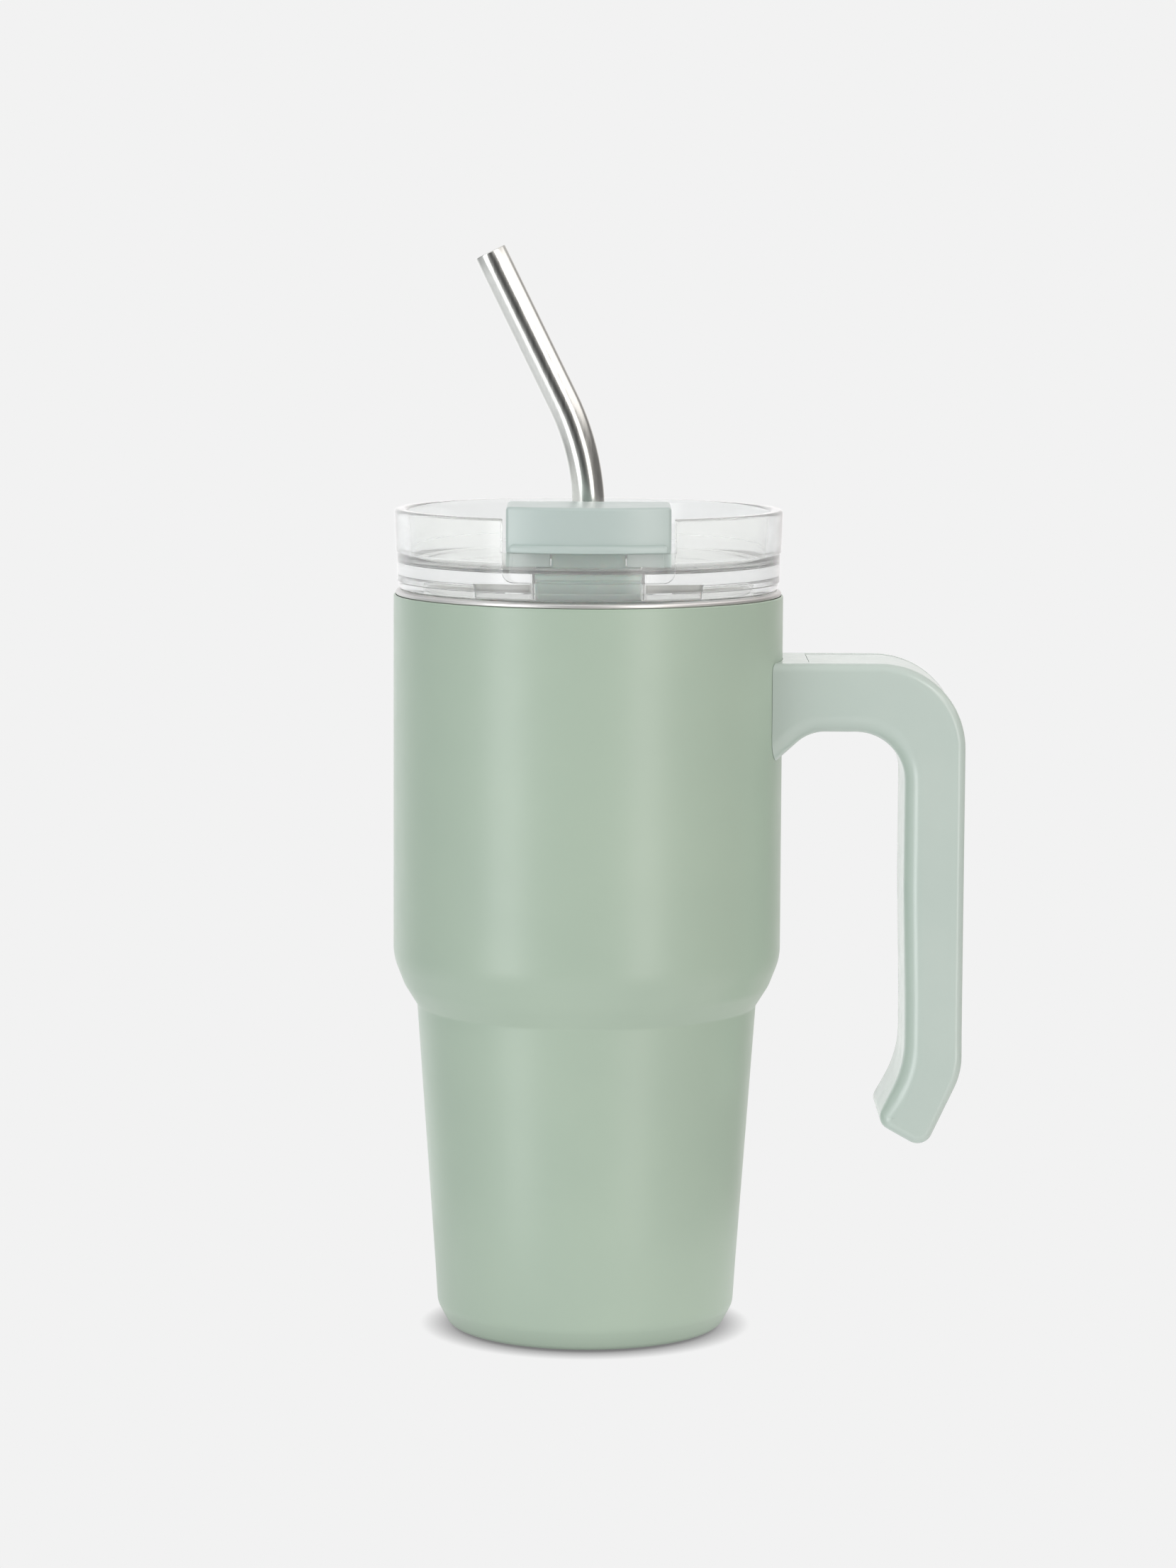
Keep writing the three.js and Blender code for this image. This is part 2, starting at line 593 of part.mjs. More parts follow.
function straw() {
  const section = new THREE.Shape().absarc(0, 0, STRAW_R, 0, 2 * Math.PI, false);
  section.holes.push(new THREE.Path().absarc(0, 0, STRAW_BORE_R, 0, 2 * Math.PI, true));
  return solid(
    new THREE.ExtrudeGeometry(section, { steps: 42, curveSegments: 6, extrudePath: new StrawLine() }),
  );
}

// ---------------------------------------------------------------- the mug
const mug = new THREE.Group();

function add(name, made, material) {
  const mesh = new THREE.Mesh(geometryOf(made), material);
  mesh.name = name;
  mug.add(mesh);
}

add("outer_shell", outerShell(), SAGE_PAINT());
add("outer_bottom", outerBottom(), STEEL());
add("vacuum_seal", vacuumSeal(), finish(0x7d8074, 0.4));
add("getter", getter(), finish(0x8d8f90, 0.5, 1));
add("radiation_foil", radiationFoil(), finish(0xc98f62, 0.3, 1));
add("inner_liner", innerLiner(), STEEL());
add("base_pad", basePad(), finish(0x8f9a90, 0.8));
add("handle_bracket", handleBracket(), STEEL());
add("handle_frame", handleFrame(), SAGE_PLASTIC());
add("handle_cover", handleCover(), SAGE_PLASTIC());
["inner", "outer"].forEach((place, i) => {
  add(`bracket_nut_${place}`, bracketNut(SCREW_X[i]), STEEL());
  add(`handle_screw_${place}`, handleScrew(SCREW_X[i]), STEEL());
});
add("lid_body", lidBody(), CLEAR());
add("lid_gasket", lidGasket(), SILICONE());
add("hinge_pin", hingePin(), STEEL());
add("flip_tab", flipTab(), SAGE_PLASTIC());
add("flip_plug", flipPlug(), SAGE_PLASTIC());
add("straw_grommet", strawGrommet(), SILICONE());
add("straw", straw(), STEEL());

export default mug;
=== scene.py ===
"""Looks of an insulated travel mug: painted steel cup, side handle, clear lid, flip cap, steel straw.

Lengths in this file are millimetres until a mesh is made; Blender's own units are metres.
+X points to the handle and -Y to the side that is drunk from.
"""
import math

import bmesh
import bpy
from mathutils import Matrix, Vector


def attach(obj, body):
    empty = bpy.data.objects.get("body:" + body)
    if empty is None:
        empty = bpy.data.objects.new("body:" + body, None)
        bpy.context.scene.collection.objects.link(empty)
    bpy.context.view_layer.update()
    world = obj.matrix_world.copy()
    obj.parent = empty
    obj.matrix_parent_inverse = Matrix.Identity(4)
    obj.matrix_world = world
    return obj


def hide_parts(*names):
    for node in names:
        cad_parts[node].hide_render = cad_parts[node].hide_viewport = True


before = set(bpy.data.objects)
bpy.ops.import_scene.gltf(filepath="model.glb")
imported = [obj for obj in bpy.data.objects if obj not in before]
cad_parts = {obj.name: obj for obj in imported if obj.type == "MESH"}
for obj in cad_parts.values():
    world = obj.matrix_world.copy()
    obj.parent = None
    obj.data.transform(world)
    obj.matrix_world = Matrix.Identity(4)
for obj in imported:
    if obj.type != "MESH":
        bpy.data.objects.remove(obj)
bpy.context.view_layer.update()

MM = 0.001
AXIS_X = (1, 0, 0)
AXIS_Y = (0, 1, 0)
AXIS_Z = (0, 0, 1)

# ------------------------------------------------------------------ sizes shared by several pieces
BODY_R = 48.0
SHELL_TOP = 182.8
LIP_TOP = 184.4
LINER_R = 43.8
DISH_FLOOR = 190.8
LID_TOP = 204.2
HANDLE_HALF = 17.0
HANDLE_TOP = 167.5
HANDLE_OUT = 92.4
HANDLE_CORNER = 21.0
COVER_HALF = 11.7
HINGE_Y = -22.0
HINGE_Z = 193.8
CAP_HALF = 19.65
CAP_TOP = 207.1
CAP_LIP = 196.2


# ------------------------------------------------------------------ lines and outlines
CORNER_SHARE = 0.62


def arc(a, b, radius, start, end, steps):
    """Points of an arc about (a, b), angles in degrees."""
    turn = [math.radians(start + (end - start) * i / steps) for i in range(steps + 1)]
    return [(a + radius * math.cos(t), b + radius * math.sin(t)) for t in turn]


def rounded(points, closed=False, degrees=7.0):
    """A line through points of (a, b) or (a, b, radius), with each radius as a true round corner.
    A corner takes up at most CORNER_SHARE of the stretch on either side of it."""
    line = []
    count = len(points)
    for i, point in enumerate(points):
        here = Vector(point[:2])
        radius = point[2] if len(point) > 2 else 0.0
        if radius <= 0 or (not closed and i in (0, count - 1)):
            line.append(tuple(here))
            continue
        before = Vector(points[i - 1][:2]) - here
        after = Vector(points[(i + 1) % count][:2]) - here
        inward, outward = before.normalized(), after.normalized()
        turn = math.pi - inward.angle(outward)
        if turn < 1e-3:
            line.append(tuple(here))
            continue
        room = CORNER_SHARE * min(before.length, after.length)
        reach = min(radius * math.tan(turn / 2), room)
        radius = reach / math.tan(turn / 2)
        middle = here + (inward + outward).normalized() * radius / math.cos(turn / 2)
        first = here + inward * reach - middle
        last = here + outward * reach - middle
        sweep = first.angle_signed(last)
        steps = max(2, math.ceil(math.degrees(abs(sweep)) / degrees - 1e-3))
        base = math.atan2(first.y, first.x)
        for k in range(steps + 1):
            angle = base - sweep * k / steps
            line.append((middle.x + radius * math.cos(angle), middle.y + radius * math.sin(angle)))
    return line


def spaced(line, step):
    """The same line with no stretch longer than step."""
    made = []
    for (a0, b0), (a1, b1) in zip(line, line[1:]):
        parts = max(1, math.ceil(math.hypot(a1 - a0, b1 - b0) / step))
        made += [(a0 + (a1 - a0) * k / parts, b0 + (b1 - b0) * k / parts) for k in range(parts)]
    return [*made, line[-1]]


def area_of(outline):
    """Above 0 on a counter-clockwise outline."""
    return sum(a0 * b1 - a1 * b0 for (a0, b0), (a1, b1) in zip(outline, outline[1:] + outline[:1])) / 2


def inset_directions(outline):
    """For each corner of a counter-clockwise outline, the way in that keeps all sides parallel."""
    ways = []
    for i, here in enumerate(outline):
        back = Vector(outline[i - 1])
        ahead = Vector(outline[(i + 1) % len(outline)])
        one = (Vector(here) - back).normalized()
        two = (ahead - Vector(here)).normalized()
        left_one, left_two = Vector((-one.y, one.x)), Vector((-two.y, two.x))
        both = (left_one + left_two).normalized()
        ways.append(both / max(0.5, both.dot(left_one)))
    return ways


# ------------------------------------------------------------------ meshes
WELD = 1e-7
SLIVER = 2e-6
FLAT_DEGREES = 0.3


def mesh_object(name, verts, faces):
    mesh = bpy.data.meshes.new(name)
    mesh.from_pydata([Vector(v) * MM for v in verts], [], faces)
    mesh.update()
    obj = bpy.data.objects.new(name, mesh)
    bpy.context.scene.collection.objects.link(obj)
    turn_faces_out(obj)
    return obj


def turn_faces_out(obj):
    """Merges doubled corners and points every face outwards."""
    work = bmesh.new()
    work.from_mesh(obj.data)
    bmesh.ops.remove_doubles(work, verts=work.verts, dist=WELD)
    bmesh.ops.recalc_face_normals(work, faces=work.faces)
    work.to_mesh(obj.data)
    work.free()
    obj.data.update()


def settle(obj):
    """Makes the object's modifiers final."""
    graph = bpy.context.evaluated_depsgraph_get()
    graph.update()
    made = bpy.data.meshes.new_from_object(obj.evaluated_get(graph))
    obj.modifiers.clear()
    obj.data = made
    made.name = obj.name
    return obj


def merge_flat(obj):
    """Joins the slivers that a cut leaves on flat faces back into whole faces."""
    work = bmesh.new()
    work.from_mesh(obj.data)
    bmesh.ops.remove_doubles(work, verts=work.verts, dist=SLIVER)
    bmesh.ops.dissolve_degenerate(work, dist=SLIVER, edges=work.edges)
    flat = math.radians(FLAT_DEGREES)
    bmesh.ops.dissolve_limit(work, angle_limit=flat, verts=work.verts, edges=work.edges)
    work.to_mesh(obj.data)
    work.free()
    return obj


def join_or_cut(obj, how, *tools):
    """Joins each tool to the object, cuts it out or keeps only what both share, then drops the tool."""
    for tool in tools:
        change = obj.modifiers.new(how, "BOOLEAN")
        change.operation = how
        change.solver = "MANIFOLD"
        change.object = tool
        settle(obj)
        bpy.data.objects.remove(tool)
    return merge_flat(obj)


def soften(obj, width, steps=2, degrees=35):
    """Small round edges where faces meet at more than so many degrees."""
    edge = obj.modifiers.new("soften", "BEVEL")
    edge.width = width * MM
    edge.segments = steps
    edge.limit_method = "ANGLE"
    edge.angle_limit = math.radians(degrees)
    edge.use_clamp_overlap = True
    return settle(obj)


def shade(obj, degrees=32, weighted=True):
    """Smooth shading, but for edges sharper than so many degrees."""
    mesh = obj.data
    mesh.shade_smooth()
    mesh.set_sharp_from_angle(angle=math.radians(degrees))
    if weighted:
        even = obj.modifiers.new("even", "WEIGHTED_NORMAL")
        even.keep_sharp = True
        even.weight = 60
        settle(obj)
    return obj


def slab(name, outline, low, high, edge_low=0.0, edge_high=0.0, plane="XY", steps=5):
    """An outline given depth from low to high, with its edges rounded. An edge is one radius, or a
    list with one for each corner of the outline."""
    count = len(outline)
    edge_low = edge_low if isinstance(edge_low, list) else [edge_low] * count
    edge_high = edge_high if isinstance(edge_high, list) else [edge_high] * count
    if area_of(outline) < 0:
        outline, edge_low, edge_high = outline[::-1], edge_low[::-1], edge_high[::-1]
    ways = inset_directions(outline)
    rings = []
    for level, edges, sign in ((low, edge_low, 1), (high, edge_high, -1)):
        turns = range(steps, -1, -1) if sign > 0 else range(steps + 1)
        for k in turns if max(edges) > 0 else [0]:
            angle = math.pi / 2 * k / steps
            ring = []
            for point, way, edge in zip(outline, ways, edges):
                there = Vector(point) + way * edge * (1 - math.cos(angle))
                ring.append((there.x, there.y, level + sign * edge * (1 - math.sin(angle))))
            rings.append(ring)
    verts = [{"XY": (a, b, d), "XZ": (a, d, b), "YZ": (d, a, b)}[plane] for r in rings for a, b, d in r]
    faces = []
    for k in range(len(rings) - 1):
        for i in range(count):
            j = (i + 1) % count
            faces.append((k * count + i, k * count + j, (k + 1) * count + j, (k + 1) * count + i))
    faces.append(tuple(range(count))[::-1])
    faces.append(tuple((len(rings) - 1) * count + i for i in range(count)))
    return mesh_object(name, verts, faces)


def block(name, xs, ys, zs, corner=0.0, edge=0.0):
    """A box with round upright corners and round top and bottom edges."""
    (x0, x1), (y0, y1), (z0, z1) = xs, ys, zs
    plan = rounded([(x0, y0, corner), (x1, y0, corner), (x1, y1, corner), (x0, y1, corner)], True, 15)
    return slab(name, plan, z0, z1, edge, edge)


def disc(name, radius, z0, z1, x=0.0, y=0.0, segments=256):
    return slab(name, arc(x, y, radius, 0, 360, segments)[:-1], z0, z1)


def bar_along_x(name, radius, x0, x1, segments=40):
    """A round bar on the flip cap's hinge line."""
    return slab(name, arc(HINGE_Y, HINGE_Z, radius, 0, 360, segments)[:-1], x0, x1, plane="YZ")


# ------------------------------------------------------------------ geometry node trees
PIP_CROWN = 0.62


def socket(tree, name, kind, default=None):
    """A named input of the tree; its identifier is what a modifier is set by."""
    made = tree.interface.new_socket(name=name, in_out="INPUT", socket_type=kind)
    if default is not None:
        made.default_value = default
    return made.identifier


def node(tree, kind, inputs=None, **settings):
    """A node with its inputs linked or set."""
    made = tree.nodes.new(kind)
    for key, value in settings.items():
        setattr(made, key, value)
    for key, value in (inputs or {}).items():
        if isinstance(value, bpy.types.NodeSocket):
            tree.links.new(value, made.inputs[key])
        else:
            made.inputs[key].default_value = value
    return made


def maths(tree, how, one, two=0.0):
    return node(tree, "ShaderNodeMath", {0: one, 1: two}, operation=how).outputs[0]


def vector(tree, how, inputs):
    return node(tree, "ShaderNodeVectorMath", inputs, operation=how).outputs


def mixed_colour(tree, share, one, two):
    mix = node(tree, "ShaderNodeMix", {0: share, 6: (*one, 1), 7: (*two, 1)}, data_type="RGBA")
    return mix.outputs[2]


def mixed_level(tree, share, one, two):
    mix = node(tree, "ShaderNodeMix", {0: share, 2: one, 3: two}, data_type="FLOAT")
    return mix.outputs[0]


def start_tree(name):
    tree = bpy.data.node_groups.new(name, "GeometryNodeTree")
    tree.interface.new_socket(name="Geometry", in_out="OUTPUT", socket_type="NodeSocketGeometry")
    return tree


def end_tree(tree, geometry, finish):
    real = node(tree, "GeometryNodeRealizeInstances", {0: geometry}).outputs[0]
    painted = node(tree, "GeometryNodeSetMaterial", {"Geometry": real, "Material": finish}).outputs[0]
    tree.links.new(painted, tree.nodes.new("NodeGroupOutput").inputs[0])
    return tree


def make_round_tree():
    """Rings of a given radius about the points of a line, joined into one closed wall. The line's
    points carry ring_radius and ring_side, the way to the ring's first point."""
    tree = start_tree("round_piece")
    names = {"Line": socket(tree, "Line", "NodeSocketGeometry")}
    names["Segments"] = socket(tree, "Segments", "NodeSocketInt", 128)
    names["Other Side"] = socket(tree, "Other Side", "NodeSocketVector", AXIS_Y)
    names["Weld"] = socket(tree, "Weld", "NodeSocketFloat", 1e-6)
    names["Finish"] = socket(tree, "Finish", "NodeSocketMaterial")
    given = tree.nodes.new("NodeGroupInput").outputs
    points = node(tree, "GeometryNodeAttributeDomainSize", {0: given["Line"]}, component="MESH").outputs[0]
    columns = node(tree, "FunctionNodeIntegerMath", {0: given["Segments"], 1: 1}, operation="ADD").outputs[0]
    grid = node(tree, "GeometryNodeMeshGrid", {"Vertices X": points, "Vertices Y": columns}).outputs["Mesh"]
    index = node(tree, "GeometryNodeInputIndex").outputs[0]
    along = node(tree, "FunctionNodeIntegerMath", {0: index, 1: columns}, operation="DIVIDE_FLOOR").outputs[0]
    around = node(tree, "FunctionNodeIntegerMath", {0: index, 1: columns}, operation="MODULO").outputs[0]

    def at_point(field, kind):
        picked = node(tree, "GeometryNodeSampleIndex", data_type=kind, domain="POINT")
        tree.links.new(given["Line"], picked.inputs["Geometry"])
        tree.links.new(field, picked.inputs["Value"])
        tree.links.new(along, picked.inputs["Index"])
        return picked.outputs[0]

    def stored(name, kind):
        return node(tree, "GeometryNodeInputNamedAttribute", {"Name": name}, data_type=kind).outputs[0]

    centre = at_point(node(tree, "GeometryNodeInputPosition").outputs[0], "FLOAT_VECTOR")
    radius = at_point(stored("ring_radius", "FLOAT"), "FLOAT")
    side = at_point(stored("ring_side", "FLOAT_VECTOR"), "FLOAT_VECTOR")
    share = maths(tree, "DIVIDE", around, given["Segments"])
    angle = maths(tree, "MULTIPLY", share, 2 * math.pi)
    near = maths(tree, "MULTIPLY", radius, maths(tree, "COSINE", angle))
    far = maths(tree, "MULTIPLY", radius, maths(tree, "SINE", angle))
    one = vector(tree, "SCALE", {0: side, "Scale": near})[0]
    two = vector(tree, "SCALE", {0: given["Other Side"], "Scale": far})[0]
    out = vector(tree, "ADD", {0: one, 1: two})[0]
    place = vector(tree, "ADD", {0: centre, 1: out})[0]
    moved = node(tree, "GeometryNodeSetPosition", {"Geometry": grid, "Position": place}).outputs[0]
    weld = {"Geometry": moved, "Distance": given["Weld"]}
    welded = node(tree, "GeometryNodeMergeByDistance", weld).outputs[0]
    return end_tree(tree, welded, given["Finish"]), names


def make_pip_tree():
    """Small low domes in staggered rows inside a circle, for a non-slip underside."""
    tree = start_tree("grip_pips")
    names = {"Seat": socket(tree, "Seat", "NodeSocketGeometry")}
    names["Field Radius"] = socket(tree, "Field Radius", "NodeSocketFloat", 0.026)
    names["Spacing"] = socket(tree, "Spacing", "NodeSocketFloat", 0.003)
    names["Pip Radius"] = socket(tree, "Pip Radius", "NodeSocketFloat", 0.0009)
    names["Pip Height"] = socket(tree, "Pip Height", "NodeSocketFloat", 0.0005)
    names["Level"] = socket(tree, "Level", "NodeSocketFloat", 0.0)
    names["Finish"] = socket(tree, "Finish", "NodeSocketMaterial")
    given = tree.nodes.new("NodeGroupInput").outputs
    wide = maths(tree, "MULTIPLY", given["Field Radius"], 2.0)
    count = maths(tree, "ADD", maths(tree, "DIVIDE", wide, given["Spacing"]), 2.0)
    span = maths(tree, "MULTIPLY", maths(tree, "SUBTRACT", count, 1.0), given["Spacing"])
    grid = node(
        tree, "GeometryNodeMeshGrid",
        {"Size X": span, "Size Y": span, "Vertices X": count, "Vertices Y": count},
    ).outputs["Mesh"]
    index = node(tree, "GeometryNodeInputIndex").outputs[0]
    row = maths(tree, "FLOOR", maths(tree, "DIVIDE", index, maths(tree, "FLOOR", count)))
    odd = maths(tree, "MODULO", row, 2.0)
    half_spacing = maths(tree, "DIVIDE", given["Spacing"], 2.0)
    shift = maths(tree, "MULTIPLY", maths(tree, "SUBTRACT", odd, 0.5), half_spacing)
    offset = node(tree, "ShaderNodeCombineXYZ", {"Y": shift, "Z": given["Level"]}).outputs[0]
    rows = node(tree, "GeometryNodeSetPosition", {"Geometry": grid, "Offset": offset}).outputs[0]
    place = node(tree, "GeometryNodeInputPosition").outputs[0]
    flat = vector(tree, "MULTIPLY", {0: place, 1: (1, 1, 0)})[0]
    away = vector(tree, "LENGTH", {0: flat})["Value"]
    sides = {0: away, 1: given["Field Radius"]}
    outside = node(tree, "FunctionNodeCompare", sides, data_type="FLOAT", operation="GREATER_THAN").outputs[0]
    kept = node(
        tree, "GeometryNodeDeleteGeometry", {"Geometry": rows, "Selection": outside}, domain="POINT"
    ).outputs[0]
    crown = maths(tree, "MULTIPLY", given["Pip Radius"], PIP_CROWN)
    pip = node(
        tree, "GeometryNodeMeshCone",
        {"Vertices": 12, "Side Segments": 1, "Fill Segments": 1, "Radius Top": given["Pip Radius"],
         "Radius Bottom": crown, "Depth": given["Pip Height"]},
    ).outputs["Mesh"]
    many = node(tree, "GeometryNodeInstanceOnPoints", {"Points": kept, "Instance": pip}).outputs[0]
    return end_tree(tree, many, given["Finish"]), names


ROUND_TREE, ROUND_INPUTS = make_round_tree()
PIP_TREE, PIP_INPUTS = make_pip_tree()


def grown(obj, tree, names, values):
    """Runs a tree on the object once and keeps the plain mesh that it makes."""
    change = obj.modifiers.new(tree.name, "NODES")
    change.node_group = tree
    for key, value in values.items():
        change[names[key]] = value
    return settle(obj)


def round_piece(name, rings, finish, segments=128, other_side=AXIS_Y):
    """rings: (centre, side, radius) in millimetres, along the wall."""
    mesh = bpy.data.meshes.new(name)
    mesh.from_pydata([Vector(c) * MM for c, _, _ in rings], [], [])
    radius = mesh.attributes.new("ring_radius", "FLOAT", "POINT")
    side = mesh.attributes.new("ring_side", "FLOAT_VECTOR", "POINT")
    for i, (_, way, size) in enumerate(rings):
        radius.data[i].value = size * MM
        side.data[i].vector = way
    obj = bpy.data.objects.new(name, mesh)
    bpy.context.scene.collection.objects.link(obj)
    grown(obj, ROUND_TREE, ROUND_INPUTS, {"Segments": segments, "Other Side": other_side, "Finish": finish})
    turn_faces_out(obj)
    return obj


def turned(name, profile, finish, segments=256, ring=False):
    """A profile of (radius, height) turned about the mug's axis."""
    loop = [*profile, profile[0]] if ring else profile
    return round_piece(name, [((0, 0, z), AXIS_X, r) for r, z in loop], finish, segments)


# ------------------------------------------------------------------ finishes
class Finish:
    """A Principled material whose patterns read Object coordinates."""

    def __init__(self, name, **constants):
        self.material = bpy.data.materials.new(name)
        self.material.use_nodes = True
        self.tree = self.material.node_tree
        self.shader = self.tree.nodes["Principled BSDF"]
        for key, value in constants.items():
            self.shader.inputs[key.replace("_", " ")].default_value = value
        self.place = self.tree.nodes.new("ShaderNodeTexCoord").outputs["Object"]
        self.bumps = None

    def stretched(self, scale):
        return node(self.tree, "ShaderNodeMapping", {"Vector": self.place, "Scale": scale}).outputs[0]

    def noise(self, scale, detail=2.0, roughness=0.5, vector=None):
        made = node(
            self.tree, "ShaderNodeTexNoise",
            {"Vector": vector or self.place, "Scale": scale, "Detail": detail, "Roughness": roughness},
        )
        return made.outputs[0]

    def spread(self, field, low, high, start=0.3, end=0.7):
        made = node(
            self.tree, "ShaderNodeMapRange",
            {"Value": field, "From Min": start, "From Max": end, "To Min": low, "To Max": high},
        )
        return made.outputs[0]

    def colour(self, field, one, two):
        self.tree.links.new(mixed_colour(self.tree, field, one, two), self.shader.inputs["Base Color"])
        return self

    def drive(self, name, field):
        self.tree.links.new(field, self.shader.inputs[name])
        return self

    def bump(self, field, distance, strength=1.0):
        made = node(
            self.tree, "ShaderNodeBump", {"Height": field, "Distance": distance * MM, "Strength": strength}
        )
        if self.bumps is not None:
            self.tree.links.new(self.bumps, made.inputs["Normal"])
        self.bumps = made.outputs[0]
        self.tree.links.new(self.bumps, self.shader.inputs["Normal"])
        return self


def srgb(*screen):
    """Linear colour of a screen colour that is brighter than near-black."""
    return tuple(((c / 255 + 0.055) / 1.055) ** 2.4 for c in screen)


def powder_coat():
    made = Finish("sage_powder_coat", Specular_IOR_Level=0.5)
    made.colour(made.spread(made.noise(26, 3), 0, 1), srgb(169, 187, 170), srgb(173, 191, 173))
    made.drive("Roughness", made.spread(made.noise(160, 3), 0.30, 0.35))
    made.bump(made.noise(900, 2), 0.02, 0.12)
    return made.material


def moulded(name, one, two, rough):
    """Satin injection-moulded plastic."""
    made = Finish(name, Specular_IOR_Level=0.65)
    made.colour(made.spread(made.noise(40, 3), 0, 1), one, two)
    made.drive("Roughness", made.spread(made.noise(240, 3), rough - 0.03, rough + 0.04))
    made.bump(made.noise(420, 2), 0.02, 0.08)
    return made.material


def brushed(name, colour, rough, scale, spread=0.06, metallic=1.0):
    """Steel with fine lines; scale is the stretch of the lines along X, Y and Z."""
    made = Finish(name, Metallic=metallic)
    lines = made.noise(1.0, 3, 0.6, made.stretched(scale))
    dark = tuple(c * 0.9 for c in colour)
    made.colour(made.spread(lines, 0, 1), dark, colour)
    made.drive("Roughness", made.spread(lines, rough - spread, rough + spread))
    made.bump(lines, 0.01, 0.25)
    return made.material


def clear_plastic():
    made = Finish("clear_plastic", Transmission_Weight=0.88, IOR=1.42, Specular_IOR_Level=0.5)
    made.colour(made.spread(made.noise(14, 2), 0, 1), (0.978, 0.985, 0.965), (0.99, 0.994, 0.98))
    made.drive("Roughness", made.spread(made.noise(60, 3), 0.015, 0.045))
    made.bump(made.noise(22, 1), 0.06, 0.1)
    return made.material


def silicone(name, one, two, rough, through=0.0):
    made = Finish(name, Subsurface_Weight=0.3, Subsurface_Scale=0.003, Transmission_Weight=through)
    made.colour(made.spread(made.noise(90, 3), 0, 1), one, two)
    made.drive("Roughness", made.spread(made.noise(420, 3), rough - 0.05, rough + 0.06))
    made.bump(made.noise(1800, 2), 0.02, 0.3)
    return made.material


PAINT = powder_coat()
HANDLE_PLASTIC = moulded("sage_handle_plastic", srgb(189, 203, 195), srgb(193, 206, 198), 0.22)
CAP_PLASTIC = moulded("sage_cap_plastic", srgb(181, 196, 191), srgb(185, 199, 194), 0.32)
SPUN_STEEL = brushed("spun_steel", (0.80, 0.79, 0.77), 0.38, (18, 18, 2600), metallic=0.75)
STRAW_STEEL = brushed("straw_steel", (0.82, 0.83, 0.795), 0.2, (1500, 1500, 30), 0.03)
PLAIN_STEEL = brushed("pressed_steel", (0.62, 0.61, 0.59), 0.33, (600, 600, 600), 0.05)
CLEAR = clear_plastic()
SEAL = silicone("seal_silicone", srgb(216, 221, 217), srgb(224, 228, 224), 0.5, 0.15)
PLUG = silicone("plug_silicone", srgb(164, 183, 174), srgb(170, 188, 179), 0.5)
PAD = silicone("pad_silicone", srgb(146, 160, 150), srgb(152, 165, 155), 0.7)


def keep(name, material):
    """Gives a carried-over CAD node its finish."""
    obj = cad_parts[name]
    obj.data.materials.clear()
    obj.data.materials.append(material)


def mount(obj, material, body, slot, *stands_for):
    """Finish, body and the CAD nodes that a new piece stands for; slot is not used."""
    obj.data.materials.clear()
    obj.data.materials.append(material)
    for face in obj.data.polygons:
        face.material_index = 0
    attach(obj, body)
    if stands_for:
        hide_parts(*stands_for)
    return obj


# ------------------------------------------------------------------ the steel body
SHELL_EDGE = SHELL_TOP - 0.05
SHELL_WALL = 0.7
RIM_ROUND = 0.35
FOOT_HOLE_R = 30.8
HEM_R = 30.0
CUP_R = 44.4
CUP_FLOOR = 10.2
CUP_WALL = 0.6


def shell_outside(inset=0.0):
    """From the hole in the foot, round the foot and over the shoulder to the top edge."""
    corners = [
        (FOOT_HOLE_R, 0.5), (34.0, 0.5, 2.6), (36.9, 6.0, 5.0), (37.55, 16.5, 20), (42.1, 81.2, 1.6),
        (45.3, 86.3, 9), (BODY_R, 93.2, 14), (BODY_R, SHELL_EDGE),
    ]
    line = rounded(corners, degrees=3)
    return [(r - inset, z + (inset if z < 3 else 0)) for r, z in line]


def painted_shell():
    outside = spaced(shell_outside(), 4)
    rim = arc(BODY_R - RIM_ROUND, SHELL_EDGE, RIM_ROUND, 0, 180, 6)[1:-1]
    rim.append((BODY_R - SHELL_WALL, SHELL_TOP - 0.4))
    inside = [(r, z) for r, z in reversed(shell_outside(SHELL_WALL)) if z < SHELL_TOP - 0.5]
    hem = [(FOOT_HOLE_R, 1.9), (FOOT_HOLE_R, 3.6), (HEM_R, 3.6), (HEM_R, 1.1), (30.3, 0.65)]
    obj = turned("painted_shell", outside + rim + inside + hem, PAINT, ring=True)
    shade(obj, 40)
    return mount(obj, PAINT, "mug", "body_paint", "outer_shell")


def steel_cup():
    outer = rounded([
        (0, CUP_FLOOR), (33.8, CUP_FLOOR, 8), (37.9, 79.9, 3), (43.9, 91.5, 6), (CUP_R, 96.5, 4),
        (CUP_R, 180.0),
    ], degrees=6)
    lip = rounded([
        (CUP_R, 180.0), (44.7, 181.8, 0.8), (45.3, 183.1, 0.4), (47.45, 183.05, 0.35), (47.5, 184.05, 0.55),
        (46.4, LIP_TOP, 0.8), (44.7, 184.0, 1.2), (LINER_R, 181.6, 1.0), (LINER_R, 178.0),
    ], degrees=12)
    floor = CUP_FLOOR + CUP_WALL
    inner = rounded([
        (LINER_R, 178.0), (LINER_R, 96.5, 4), (43.3, 91.7, 6), (37.3, 80.1, 3), (33.2, floor, 8), (0, floor),
    ], degrees=6)
    obj = turned("steel_cup", spaced(outer, 6) + lip[1:-1] + spaced(inner, 6), SPUN_STEEL)
    shade(obj, 45)
    return mount(obj, SPUN_STEEL, "mug", "bare_steel", "inner_liner")


